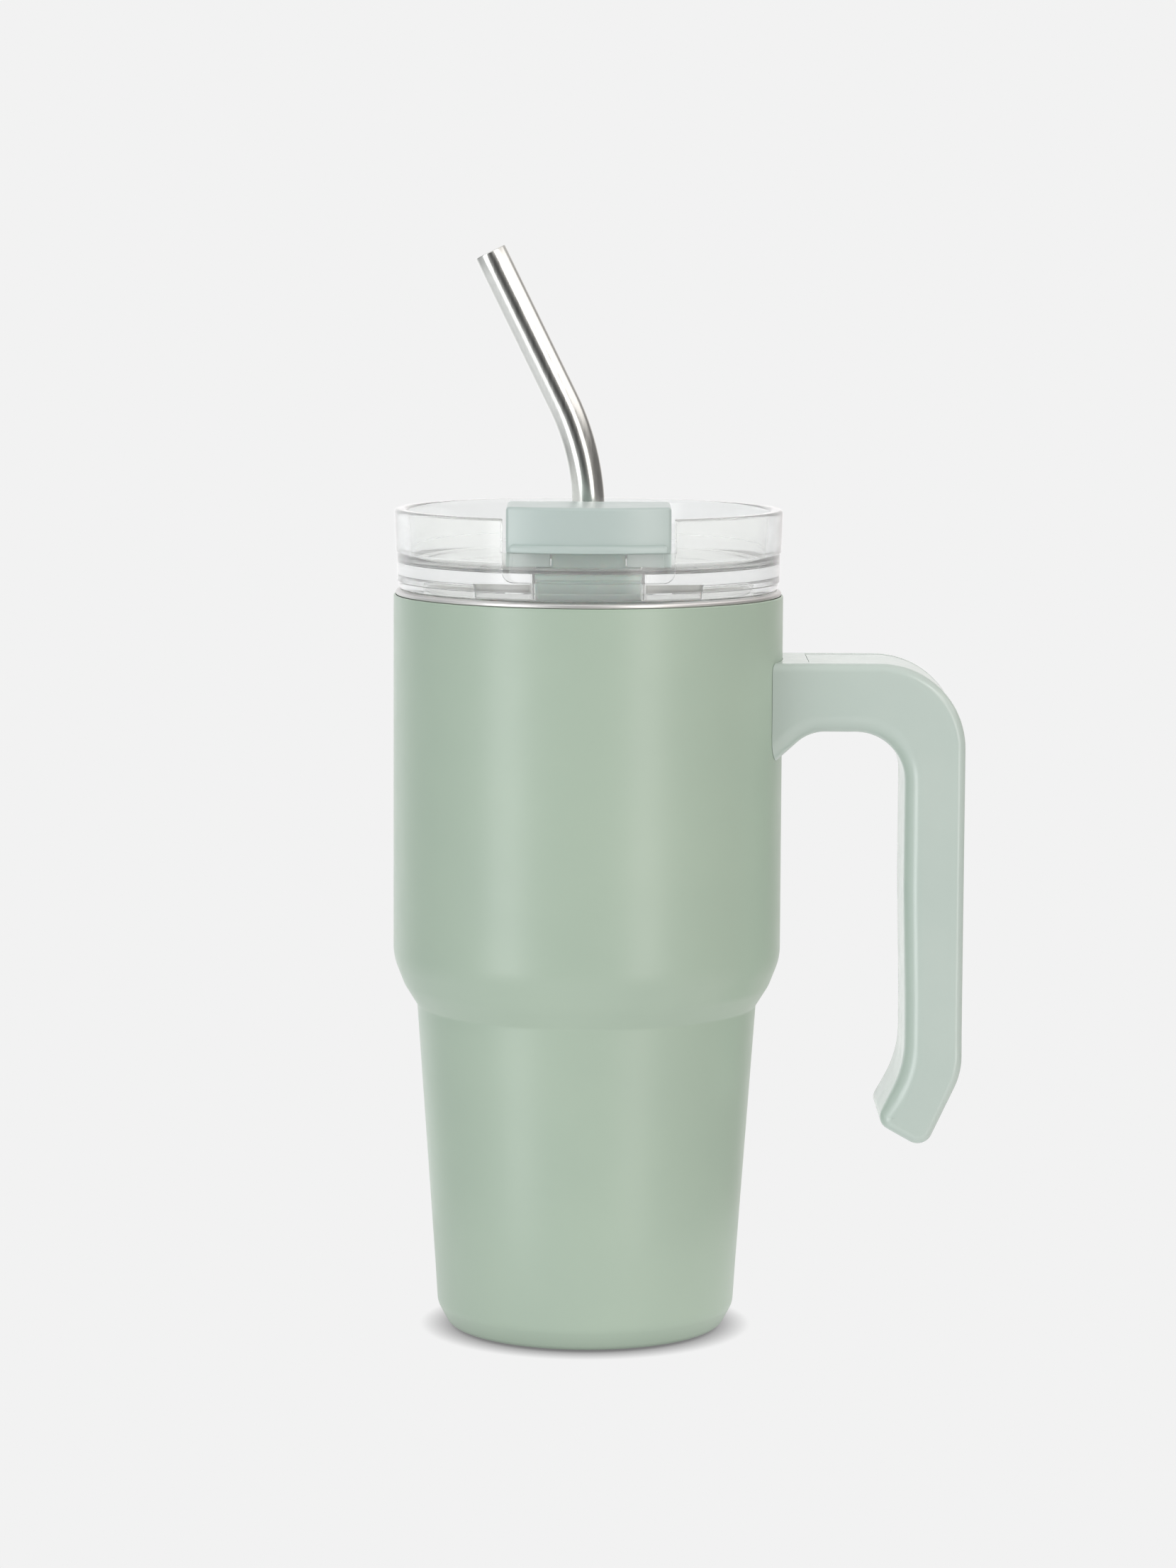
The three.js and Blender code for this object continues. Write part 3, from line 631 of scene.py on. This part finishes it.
def base_pad():
    profile = rounded([
        (0, 0.4), (27.0, 0.4, 0.1), (27.4, 0.0, 0.15), (28.7, 0.0, 0.5), (29.2, 0.6, 0.4), (29.2, 2.2, 0.3),
        (0, 2.2),
    ], degrees=15)
    obj = turned("grip_pad", profile, PAD, 128)
    shade(obj, 35)
    mount(obj, PAD, "mug", "pad_silicone", "base_pad")


def base_pad_pips():
    obj = mesh_object("grip_pad_pips", [(0, 0, 0)], [])
    grown(obj, PIP_TREE, PIP_INPUTS, {
        "Field Radius": 25.6 * MM, "Spacing": 3.1 * MM, "Pip Radius": 0.95 * MM, "Pip Height": 0.6 * MM,
        "Level": 0.05 * MM, "Finish": PAD,
    })
    obj.data.shade_flat()
    mount(obj, PAD, "mug", "pad_silicone")


# ------------------------------------------------------------------ the handle
HANDLE_IN = 77.7
ARM_UNDER = 150.5
ARM_START = 40
GUSSET_FOOT = 142.2
TOE_TOP = 76
TOE_LOW = 51
TOE_WIDENS = 10
INNER_SIDE = 79
OUTER_EDGE = 2.2
INNER_EDGE = 4.8
STRIP_START = 54
STRIP_END = 78
STRIP_GAP = 0.14
STRIP_RECESS = 2.1
STRIP_THICK = 1.8
SCREW_PLACES = (60, 69)


def outer_face(depth, start, end_z, degrees=4.0):
    """Along the top of the arm, round the corner and down the grip, set in by depth."""
    top, out = HANDLE_TOP - depth, HANDLE_OUT - depth
    return rounded([(start, top), (out, top, HANDLE_CORNER - depth), (out, end_z)], degrees=degrees)


def handle_outline():
    """The side view, with each point's edge radius. The inner edge is the rounder one, and narrows
    to the outer one's radius at the toe."""
    outside = spaced(outer_face(0, ARM_START, TOE_TOP), 3)
    toe = rounded([
        (HANDLE_OUT, TOE_TOP), (92.5, 66.5, 18), (83.5, 47.3, 3.8), (71.4, 54.0, 3.2), (78.4, 67.6, 26),
        (78.35, 84.0),
    ], degrees=5)
    inside = rounded([
        (78.35, 84.0), (HANDLE_IN, 112), (HANDLE_IN, ARM_UNDER, 12), (54.2, ARM_UNDER, 10), (45, GUSSET_FOOT),
        (ARM_START, GUSSET_FOOT),
    ], degrees=4)
    line = outside[:-1]
    edges = [OUTER_EDGE] * len(line)
    for a, b in spaced(toe, 2)[:-1] + spaced(inside, 2.5)[:-1]:
        rise = max(0.0, min(1.0, (b - TOE_LOW) / TOE_WIDENS)) if a < INNER_SIDE else 0.0
        line.append((a, b))
        edges.append(OUTER_EDGE + (INNER_EDGE - OUTER_EDGE) * rise)
    line.append(inside[-1])
    edges.append(INNER_EDGE)
    return line, edges


def handle():
    line, edges = handle_outline()
    obj = slab("handle_body", line, -HANDLE_HALF, HANDLE_HALF, edges, edges, plane="XZ", steps=7)
    seat = disc("seat", BODY_R + 0.08, 100, 190)
    above, below = outer_face(-4, STRIP_START, STRIP_END), outer_face(STRIP_RECESS, STRIP_START, STRIP_END)
    recess_half = COVER_HALF + STRIP_GAP
    recess = slab("recess", above + below[::-1], -recess_half, recess_half, plane="XZ")
    join_or_cut(obj, "DIFFERENCE", seat, recess)
    pocket = block("pocket", (45, 74.3), (-6.8, 6.8), (153.2, 161.4))
    pad = disc("pad", BODY_R + 1.8, 151.9, 163.8)
    window = block("window", (40, 56), (-9.3, 9.3), (151.0, 164.5))
    join_or_cut(pad, "INTERSECT", window)
    holes = []
    for x in SCREW_PLACES:
        holes.append(disc(f"shank_hole_{x}", 1.8, 160, 168, x=x, segments=32))
        holes.append(disc(f"head_hole_{x}", 3.1, 162.9, 168, x=x, segments=32))
    join_or_cut(obj, "DIFFERENCE", pocket, pad, *holes)
    soften(obj, 0.22, 2, 50)
    shade(obj, 30)
    return mount(obj, HANDLE_PLASTIC, "mug", "sage_plastic", "handle_frame")


def handle_strip():
    start, end = STRIP_START + STRIP_GAP, STRIP_END + STRIP_GAP
    outline = outer_face(0.05, start, end) + outer_face(STRIP_THICK, start, end)[::-1]
    obj = slab("handle_strip", outline, -COVER_HALF, COVER_HALF, 0.2, 0.2, plane="XZ", steps=3)
    shade(obj, 30)
    return mount(obj, HANDLE_PLASTIC, "mug", "sage_plastic", "handle_cover")


# ------------------------------------------------------------------ the lid
LID_R = 47.8
SKIRT_R = 42.9
SKIRT_IN_R = 40.7
SKIRT_LOW = 172.0
GROOVE_R = 41.7
DISH_UNDER = 187.8
NOTCH_HALF = 20.5
NOTCH_FLOOR = 195.9
FINGER_FLOOR = 188.9
FINGER_R = 45.4
POST_R = 2.7
POST_SPAN = (13.6, 17.55)
PIN_HOLE_R = 1.5
SPOUT_HALF = 12.9
SEAM = (0.36, 0.60)


def lid_blank():
    """The lid before anything is cut from it: rim, wall, dish, flange and grooved skirt."""
    corners = [
        (0, DISH_UNDER), (SKIRT_IN_R, DISH_UNDER, 0.8), (SKIRT_IN_R, SKIRT_LOW, 0.5),
        (SKIRT_R, SKIRT_LOW, 0.5), (SKIRT_R, 175.5, 0.1), (GROOVE_R, 175.5, 0.2), (GROOVE_R, 179.5, 0.2),
        (SKIRT_R, 179.5, 0.1), (SKIRT_R, 184.7, 0.3), (46.45, 184.7, 0.25), (46.9, 186.35, 0.3),
        (47.15, 186.6, 0.2), (47.2, 193.65, 0.08), (47.5, 193.85, 0.12), (LID_R, 202.9),
        (LID_R, LID_TOP, 0.95), (44.7, LID_TOP, 1.1), (43.7, DISH_FLOOR, 3.0), (0, DISH_FLOOR),
    ]
    return turned("clear_lid", spaced(rounded(corners, degrees=10), 5), CLEAR, 192)


def spout_boss():
    """The thicker floor round the drinking hole."""
    boss = block("boss", (-26, 26), (-42.5, -27.5), (185.3, 189.8), 2.0, 0.35)
    return join_or_cut(boss, "INTERSECT", disc("boss_limit", GROOVE_R, 180, 200, segments=192))


def hinge_post(side):
    foot = DISH_FLOOR - 0.5
    crown = arc(HINGE_Y, HINGE_Z, POST_R, 180, 0, 20)
    outline = [(HINGE_Y - POST_R, foot), *crown, (HINGE_Y + POST_R, foot)]
    low, high = sorted(x * side for x in POST_SPAN)
    return slab(f"post_{side}", outline, low, high, 0.2, 0.2, plane="YZ", steps=2)


def finger_recess():
    """Room for a fingertip below the cap's lip."""
    outline = rounded([
        (-NOTCH_HALF, 197.5), (-NOTCH_HALF, FINGER_FLOOR, 2.5), (NOTCH_HALF, FINGER_FLOOR, 2.5),
        (NOTCH_HALF, 197.5),
    ], True, 9)
    finger = slab("finger", outline, -60, -30, plane="XZ")
    return join_or_cut(finger, "DIFFERENCE", disc("finger_wall", FINGER_R, 180, 205, segments=192))


def clear_lid():
    obj = lid_blank()
    join_or_cut(obj, "UNION", spout_boss(), hinge_post(-1), hinge_post(1))
    notch = block("notch", (-NOTCH_HALF, NOTCH_HALF), (-60, -30), (NOTCH_FLOOR, 210))
    spout = block("spout", (-SPOUT_HALF, SPOUT_HALF), (-38.0, -29.8), (180, 195), 2.0)
    straw_hole = disc("straw_hole", 6.6, 180, 195, segments=64)
    bore = bar_along_x("bore", PIN_HOLE_R, -30, 30)
    join_or_cut(obj, "DIFFERENCE", notch, finger_recess(), spout, straw_hole, bore)
    soften(obj, 0.25, 2, 50)
    seam_low = block("seam_low", SEAM, (-47.3, -46.9), (186.8, 188.7))
    seam_high = block("seam_high", SEAM, (-45.5, -45.1), (189.1, 195.7))
    join_or_cut(obj, "UNION", seam_low, seam_high)
    shade(obj, 30)
    return mount(obj, CLEAR, "lid", "clear_plastic", "lid_body")


def gasket():
    """A flat band with two soft ribs, in the skirt's groove."""
    base, rib, back, low, high = 43.0, 43.5, 42.0, 175.8, 179.2
    profile = [(back, low), (base, low)]
    for z in (low + 0.4, low + 2.0):
        profile += rounded(
            [(base, z), (rib, z + 0.35, 0.15), (rib, z + 0.65, 0.15), (base, z + 0.85)], degrees=30
        )
    profile += [(base, high), (back, high)]
    obj = turned("lid_seal", profile, SEAL, 192, ring=True)
    shade(obj, 30)
    return mount(obj, SEAL, "gasket", "seal_silicone", "lid_gasket")


def grommet():
    bore, groove = 4.3, 6.3
    profile = rounded([
        (bore, 186.1, 0.2), (7.4, 186.1, 0.6), (7.7, 187.45, 0.15), (groove, 187.5, 0.1),
        (groove, 191.1, 0.1), (7.6, 191.1, 0.2), (7.6, 192.5, 1.0), (5.2, 192.5, 0.3), (bore, 192.0, 0.2),
    ], True, 20)
    obj = turned("straw_collar", profile, SEAL, 64, ring=True)
    shade(obj, 30)
    return mount(obj, SEAL, "grommet", "seal_silicone", "straw_grommet")


def hinge_pin():
    radius, half, bevel = 1.2, 19.05, 0.25
    ends = [
        (-half, 0.0), (-half, radius - bevel), (bevel - half, radius), (half - bevel, radius),
        (half, radius - bevel), (half, 0.0),
    ]
    rings = [((x, HINGE_Y, HINGE_Z), AXIS_Y, r) for x, r in ends]
    obj = round_piece("cap_pin", rings, PLAIN_STEEL, 32, AXIS_Z)
    shade(obj, 30)
    return mount(obj, PLAIN_STEEL, "lid", "bare_steel", "hinge_pin")


# ------------------------------------------------------------------ the flip cap
CAP_R = 47.9
CAP_IN_R = 45.3
CAP_IN_HALF = 17.85
CAP_BACK = -20.5
CAP_ROOF = 3
CHEEK_LOW = 191.1
CHEEK_R = 2.65
LIP_R = 48.9
LIP_IN_R = 46.6
LIP_HALF = 19.2
LIP_IN_HALF = 18.3
LIP_HEIGHT = 2.0
FRONT_WALL = (-36.0, -34.4)
STOPPER_CORNER = 1.6
STOPPER_LEVELS = [
    (185.3, 12.05, -35.1, -30.6), (185.38, 12.3, -35.35, -30.35), (185.75, 12.6, -35.75, -30.1),
    (188.5, 12.6, -37.1, -30.1), (188.62, 12.5, -37.1, -30.2), (188.7, 12.15, -36.8, -30.5),
    (189.1, 12.15, -36.95, -30.5), (189.2, 12.5, -37.3, -30.2), (189.32, 12.6, -37.45, -30.1),
    (190.4, 12.6, -37.7, -30.1), (190.7, 12.45, -37.55, -30.25), (190.8, 12.15, -37.3, -30.5),
    (190.8, 9.3, -37.2, -31.2), (191.0, 8.95, -37.2, -31.1), (191.5, 8.8, -37.3, -31.0),
    (198.9, 8.8, -37.3, -31.0), (199.3, 8.65, -37.15, -31.15), (199.5, 8.3, -36.8, -31.5),
]


def front_arc(radius, half, steps=28):
    """Along the curved front from -X to +X."""
    reach = math.degrees(math.asin(half / radius))
    return arc(0, 0, radius, 270 - reach, 270 + reach, steps)


def cap_plan(radius, half, back, front_corner, back_corner):
    """The cap from above: curved front, straight sides and back, with round corners."""
    front = [p for p in front_arc(radius, half, 40) if abs(p[0]) < half - front_corner * 0.8]
    end_y = -math.sqrt(radius * radius - half * half)
    line = [
        (-half, back, back_corner), (-half, end_y, front_corner), *front, (half, end_y, front_corner),
        (half, back, back_corner),
    ]
    return rounded(line, True, 10)


def cap_hood():
    outside = cap_plan(CAP_R, CAP_HALF, CAP_BACK, 1.2, 1.2)
    inside = cap_plan(CAP_IN_R, CAP_IN_HALF, CAP_BACK + 5, 1.2, 0.4)
    hood = slab("flip_cap", outside, CAP_LIP, CAP_TOP, 0.35, 0.85, steps=6)
    hollow = slab("hollow", inside, CAP_LIP - 5, CAP_TOP - CAP_ROOF, 0.0, 0.8)
    return join_or_cut(hood, "DIFFERENCE", hollow)


def cap_lip():
    """The ledge along the front edge that a finger lifts."""
    outer = front_arc(LIP_R, LIP_HALF)
    inner = front_arc(LIP_IN_R, LIP_IN_HALF)[::-1]
    line = rounded([(*outer[0], 0.8), *outer[1:-1], (*outer[-1], 0.8), *inner], True, 15)
    return slab("lip", line, CAP_LIP, CAP_LIP + LIP_HEIGHT, 0.45, 1.1, steps=4)


def cap_side(way):
    """The cheek that reaches down to the hinge pin, and the wall across the front beside the neck."""
    outline = rounded([
        (-36, 199.5), (-36, CHEEK_LOW, 1.0), (HINGE_Y, CHEEK_LOW),
        *arc(HINGE_Y, HINGE_Z, CHEEK_R, -80, 15, 12), (CAP_BACK, 195.2), (CAP_BACK, 199.5),
    ], True, 15)
    low, high = sorted((CAP_IN_HALF * way, CAP_HALF * way))
    cheek = slab(f"cheek_{way}", outline, low, high, 0.3, 0.3, plane="YZ", steps=3)
    wall = block(f"wall_{way}", sorted((9.1 * way, 18.05 * way)), FRONT_WALL, (CHEEK_LOW, 206), 0.3, 0.3)
    return cheek, wall


def flip_cap():
    hood = cap_hood()
    cheeks, walls = zip(cap_side(-1), cap_side(1))
    stem = block("stem", (-5.7, 5.7), (-36.0, -32.4), (188.5, 206), 1.2, 0.3)
    join_or_cut(hood, "UNION", cap_lip(), *walls, *cheeks, stem)
    join_or_cut(hood, "DIFFERENCE", bar_along_x("pin_hole", PIN_HOLE_R, -30, 30))
    shade(hood, 30)
    return mount(hood, CAP_PLASTIC, "flip_cap", "cap_plastic", "flip_tab")


def stopper():
    """A stack of rounded rectangles: height, half width, front and back."""
    rings = []
    for z, half, front, back in STOPPER_LEVELS:
        corners = [(-half, front), (half, front), (half, back), (-half, back)]
        plan = rounded([(*corner, STOPPER_CORNER) for corner in corners], True, 10)
        rings.append([(a, b, z) for a, b in plan])
    count = len(rings[0])
    faces = [
        (k * count + i, k * count + (i + 1) % count, (k + 1) * count + (i + 1) % count, (k + 1) * count + i)
        for k in range(len(rings) - 1) for i in range(count)
    ]
    faces.append(tuple(reversed(range(count))))
    faces.append(tuple((len(rings) - 1) * count + i for i in range(count)))
    obj = mesh_object("stopper", [p for ring in rings for p in ring], faces)
    join_or_cut(obj, "DIFFERENCE", block("socket", (-6.0, 6.0), (-36.3, -32.1), (188.2, 201), 1.4))
    shade(obj, 30)
    return mount(obj, PLUG, "flip_cap", "plug_silicone", "flip_plug")


# ------------------------------------------------------------------ the straw
STRAW_R = 4.0
STRAW_BORE = 3.5
STRAW_FOOT = 14.0
STRAW_RISE = 188.5
STRAW_BEND_R = 64.0
STRAW_LEAN = math.radians(26.3)
STRAW_BEND = STRAW_BEND_R * STRAW_LEAN
STRAW_TIP = 40.2
STRAW_LENGTH = STRAW_RISE + STRAW_BEND + STRAW_TIP


def straw_ring(distance, radius):
    """A ring of the tube at a distance from its foot, along the rise, the bend and the tip."""
    angle = max(0.0, min(STRAW_LEAN, (distance - STRAW_RISE) / STRAW_BEND_R))
    tip = max(0.0, distance - STRAW_RISE - STRAW_BEND)
    side, up = math.cos(angle), math.sin(angle)
    x = -STRAW_BEND_R * (1 - side) - tip * up
    z = STRAW_FOOT + min(distance, STRAW_RISE) + STRAW_BEND_R * up + tip * side
    return (x, 0, z), (side, 0, up), radius


def steel_straw():
    lip = (STRAW_R - STRAW_BORE) / 2
    middle = STRAW_R - lip
    top = STRAW_LENGTH - lip
    stretches = [(0, STRAW_RISE, 24), (STRAW_RISE, STRAW_BEND, 30), (STRAW_RISE + STRAW_BEND, STRAW_TIP, 8)]
    stations = [start + run * i / steps for start, run, steps in stretches for i in range(steps)]
    between = [s for s in stations if lip < s < top]
    turn = [math.radians(degrees) for degrees in (30, 60, 90, 120, 150)]
    wall = [(s, STRAW_R) for s in (lip, *between, top)]
    upper_end = [(top + lip * math.sin(t), middle + lip * math.cos(t)) for t in turn]
    bore = [(s, STRAW_BORE) for s in (top, *reversed(between), lip)]
    lower_end = [(lip - lip * math.sin(t), middle - lip * math.cos(t)) for t in turn]
    rings = [straw_ring(s, r) for s, r in [*wall, *upper_end, *bore, *lower_end, wall[0]]]
    obj = round_piece("steel_straw", rings, STRAW_STEEL, 64)
    shade(obj, 60, weighted=False)
    return mount(obj, STRAW_STEEL, "straw", "straw_steel", "straw")


# ------------------------------------------------------------------ floor
ROOM = srgb(242, 242, 242)[0]
FLOOR_R = 0.14
# reach and darkest level of the painted contact shadow on the glowing floor
PAINTED_SHADOW_REACH = 0.007
PAINTED_SHADOW_LEVEL = 0.18
OPEN_FLOOR = 0.95


def studio_floor():
    """Glows evenly, with a painted contact shadow: darker only where something stands close over it."""
    mesh = bpy.data.meshes.new("studio_floor")
    obj = bpy.data.objects.new("studio_floor", mesh)
    bpy.context.scene.collection.objects.link(obj)
    work = bmesh.new()
    bmesh.ops.create_circle(work, cap_ends=True, cap_tris=False, segments=96, radius=FLOOR_R)
    work.to_mesh(mesh)
    work.free()
    material = bpy.data.materials.new("pale_floor")
    material.use_nodes = True
    tree = material.node_tree
    tree.nodes.clear()
    # painted contact shadow: the floor's glow is dimmed where something stands within a few millimetres of it
    nearby = node(tree, "ShaderNodeAmbientOcclusion", {"Distance": PAINTED_SHADOW_REACH}, samples=16)
    level = node(
        tree, "ShaderNodeMapRange",
        {"Value": nearby.outputs["AO"], "From Max": OPEN_FLOOR, "To Min": PAINTED_SHADOW_LEVEL, "To Max": ROOM},
    ).outputs[0]
    glow = node(tree, "ShaderNodeEmission", {"Strength": level}).outputs[0]
    tree.links.new(glow, tree.nodes.new("ShaderNodeOutputMaterial").inputs[0])
    mesh.materials.append(material)


# ------------------------------------------------------------------ light
# Compass direction in degrees and level of the light near the horizon. 0 is the drinking side, + is to +X.
AROUND = [
    (-180, 1.2), (-145, 1.1), (-112, 0.3), (-66, 0.5), (-52, 3.9), (-45, 3.9), (-30, 0.25), (-6, 0.05),
    (20, 0.2), (30, 3.2), (37, 3.2), (50, 0.25), (95, 0.15), (130, 0.2), (160, 0.9), (180, 1.2),
]
# Lamp panels: direction and half width in degrees, height and half height, level.
PANELS = [(40, 22, 0.47, 0.1, 5.5), (85, 35, 0.45, 0.18, 1.5), (-50, 20, 0.3, 0.1, 3.2)]
HIGH_LEVEL = 0.6
CEILING_LEVEL = 0.95
BELOW_LEVEL = 0.9
THROUGH_LEVEL = 0.88
THROUGH_BOUNCE = 1.15
THROUGH_SHARE = 0.7
COOL_SIDE = (0.99, 1.0, 1.02)
WARM_SIDE = (1.0, 0.955, 0.94)


def ramp(tree, value, start, end, **settings):
    """0 at start, 1 at end and even between them."""
    span = {"Value": value, "From Min": start, "From Max": end}
    return node(tree, "ShaderNodeMapRange", span, **settings).outputs[0]


def panel(tree, angle, direction, half_width, height, middle, half_height):
    """1 inside a lamp panel and 0 outside it, with a soft border."""
    half = math.radians(half_width)
    sideways = maths(tree, "ABSOLUTE", maths(tree, "SUBTRACT", angle, math.radians(direction)))
    upright = maths(tree, "ABSOLUTE", maths(tree, "SUBTRACT", height, middle))
    across = ramp(tree, sideways, half, half * 0.7)
    up = ramp(tree, upright, half_height, half_height * 0.6)
    return maths(tree, "MULTIPLY", across, up)


def light_near_horizon(tree, angle):
    bands = node(tree, "ShaderNodeValToRGB", {0: ramp(tree, angle, -math.pi, math.pi)})
    bands.color_ramp.interpolation = "EASE"
    elements = bands.color_ramp.elements
    while len(elements) < len(AROUND):
        elements.new(0.5)
    for element, (degrees, level) in zip(elements, AROUND):
        element.position = (degrees + 180) / 360
        element.color = (level, level, level, 1)
    return bands.outputs[0]


def studio_light():
    """Soft light all round. What shines through clear plastic sees even light, without the bands."""
    world = bpy.data.worlds.new("studio")
    bpy.context.scene.world = world
    world.use_nodes = True
    tree = world.node_tree
    tree.nodes.clear()
    way = tree.nodes.new("ShaderNodeTexCoord").outputs["Generated"]
    side, depth, height = node(tree, "ShaderNodeSeparateXYZ", {0: way}).outputs
    angle = maths(tree, "ARCTAN2", side, maths(tree, "MULTIPLY", depth, -1.0))
    steep = ramp(tree, maths(tree, "ABSOLUTE", height), 0.2, 0.5, interpolation_type="SMOOTHSTEP")
    level = mixed_level(tree, steep, light_near_horizon(tree, angle), HIGH_LEVEL)
    for direction, half_width, middle, half_height, lamp in PANELS:
        share = panel(tree, angle, direction, half_width, height, middle, half_height)
        level = mixed_level(tree, share, level, lamp)
    level = mixed_level(tree, ramp(tree, height, 0.6, 0.75), level, CEILING_LEVEL)
    level = mixed_level(tree, ramp(tree, height, -0.25, -0.5), level, BELOW_LEVEL)
    rays = tree.nodes.new("ShaderNodeLightPath").outputs
    inside = maths(tree, "MINIMUM", rays["Diffuse Depth"], 1.0)
    through = maths(tree, "ADD", maths(tree, "MULTIPLY", inside, THROUGH_BOUNCE), THROUGH_LEVEL)
    passed = maths(tree, "MULTIPLY", maths(tree, "MINIMUM", rays["Transmission Depth"], 1.0), THROUGH_SHARE)
    clear = maths(tree, "MAXIMUM", rays["Is Transmission Ray"], passed)
    level = mixed_level(tree, clear, level, through)
    right = ramp(tree, side, -0.8, 0.8)
    warm = maths(tree, "MULTIPLY", right, maths(tree, "SUBTRACT", 1.0, clear))
    tint = mixed_colour(tree, warm, COOL_SIDE, WARM_SIDE)
    around = node(tree, "ShaderNodeBackground", {"Color": tint, "Strength": level}).outputs[0]
    plain = node(tree, "ShaderNodeBackground", {"Color": (1, 1, 1, 1), "Strength": ROOM}).outputs[0]
    both = node(tree, "ShaderNodeMixShader", {0: rays["Is Camera Ray"], 1: around, 2: plain}).outputs[0]
    tree.links.new(both, tree.nodes.new("ShaderNodeOutputWorld").inputs[0])


# ------------------------------------------------------------------ camera
CAMERA_PLACE = (0.000125, -1.2058, 0.27578)
CAMERA_DOWN = 6.617
CAMERA_ROLL = 0.273


def camera():
    data = bpy.data.cameras.new("camera")
    data.lens = 112.5
    data.sensor_width = 36
    data.clip_start = 0.01
    data.clip_end = 20
    obj = bpy.data.objects.new("camera", data)
    bpy.context.scene.collection.objects.link(obj)
    pitch = Matrix.Rotation(math.radians(90 - CAMERA_DOWN), 4, "X")
    roll = Matrix.Rotation(math.radians(CAMERA_ROLL), 4, "Z")
    obj.matrix_world = Matrix.Translation(CAMERA_PLACE) @ pitch @ roll
    bpy.context.scene.camera = obj


# ------------------------------------------------------------------ everything together
camera()
studio_floor()
studio_light()
bpy.context.scene.view_settings.view_transform = "Standard"

painted_shell()
steel_cup()
base_pad()
base_pad_pips()
handle()
handle_strip()
clear_lid()
gasket()
grommet()
hinge_pin()
flip_cap()
stopper()
steel_straw()

keep("outer_bottom", PLAIN_STEEL)
keep("handle_bracket", PLAIN_STEEL)
for place in ("inner", "outer"):
    keep(f"bracket_nut_{place}", PLAIN_STEEL)
    keep(f"handle_screw_{place}", PLAIN_STEEL)
keep("vacuum_seal", brushed("seal_glass", srgb(120, 124, 112), 0.35, (300, 300, 300), 0.08, 0.0))
keep("getter", brushed("getter_metal", (0.30, 0.30, 0.31), 0.5, (900, 900, 900), 0.08))
keep("radiation_foil", brushed("copper_foil", (0.80, 0.52, 0.36), 0.25, (300, 300, 40), 0.08))
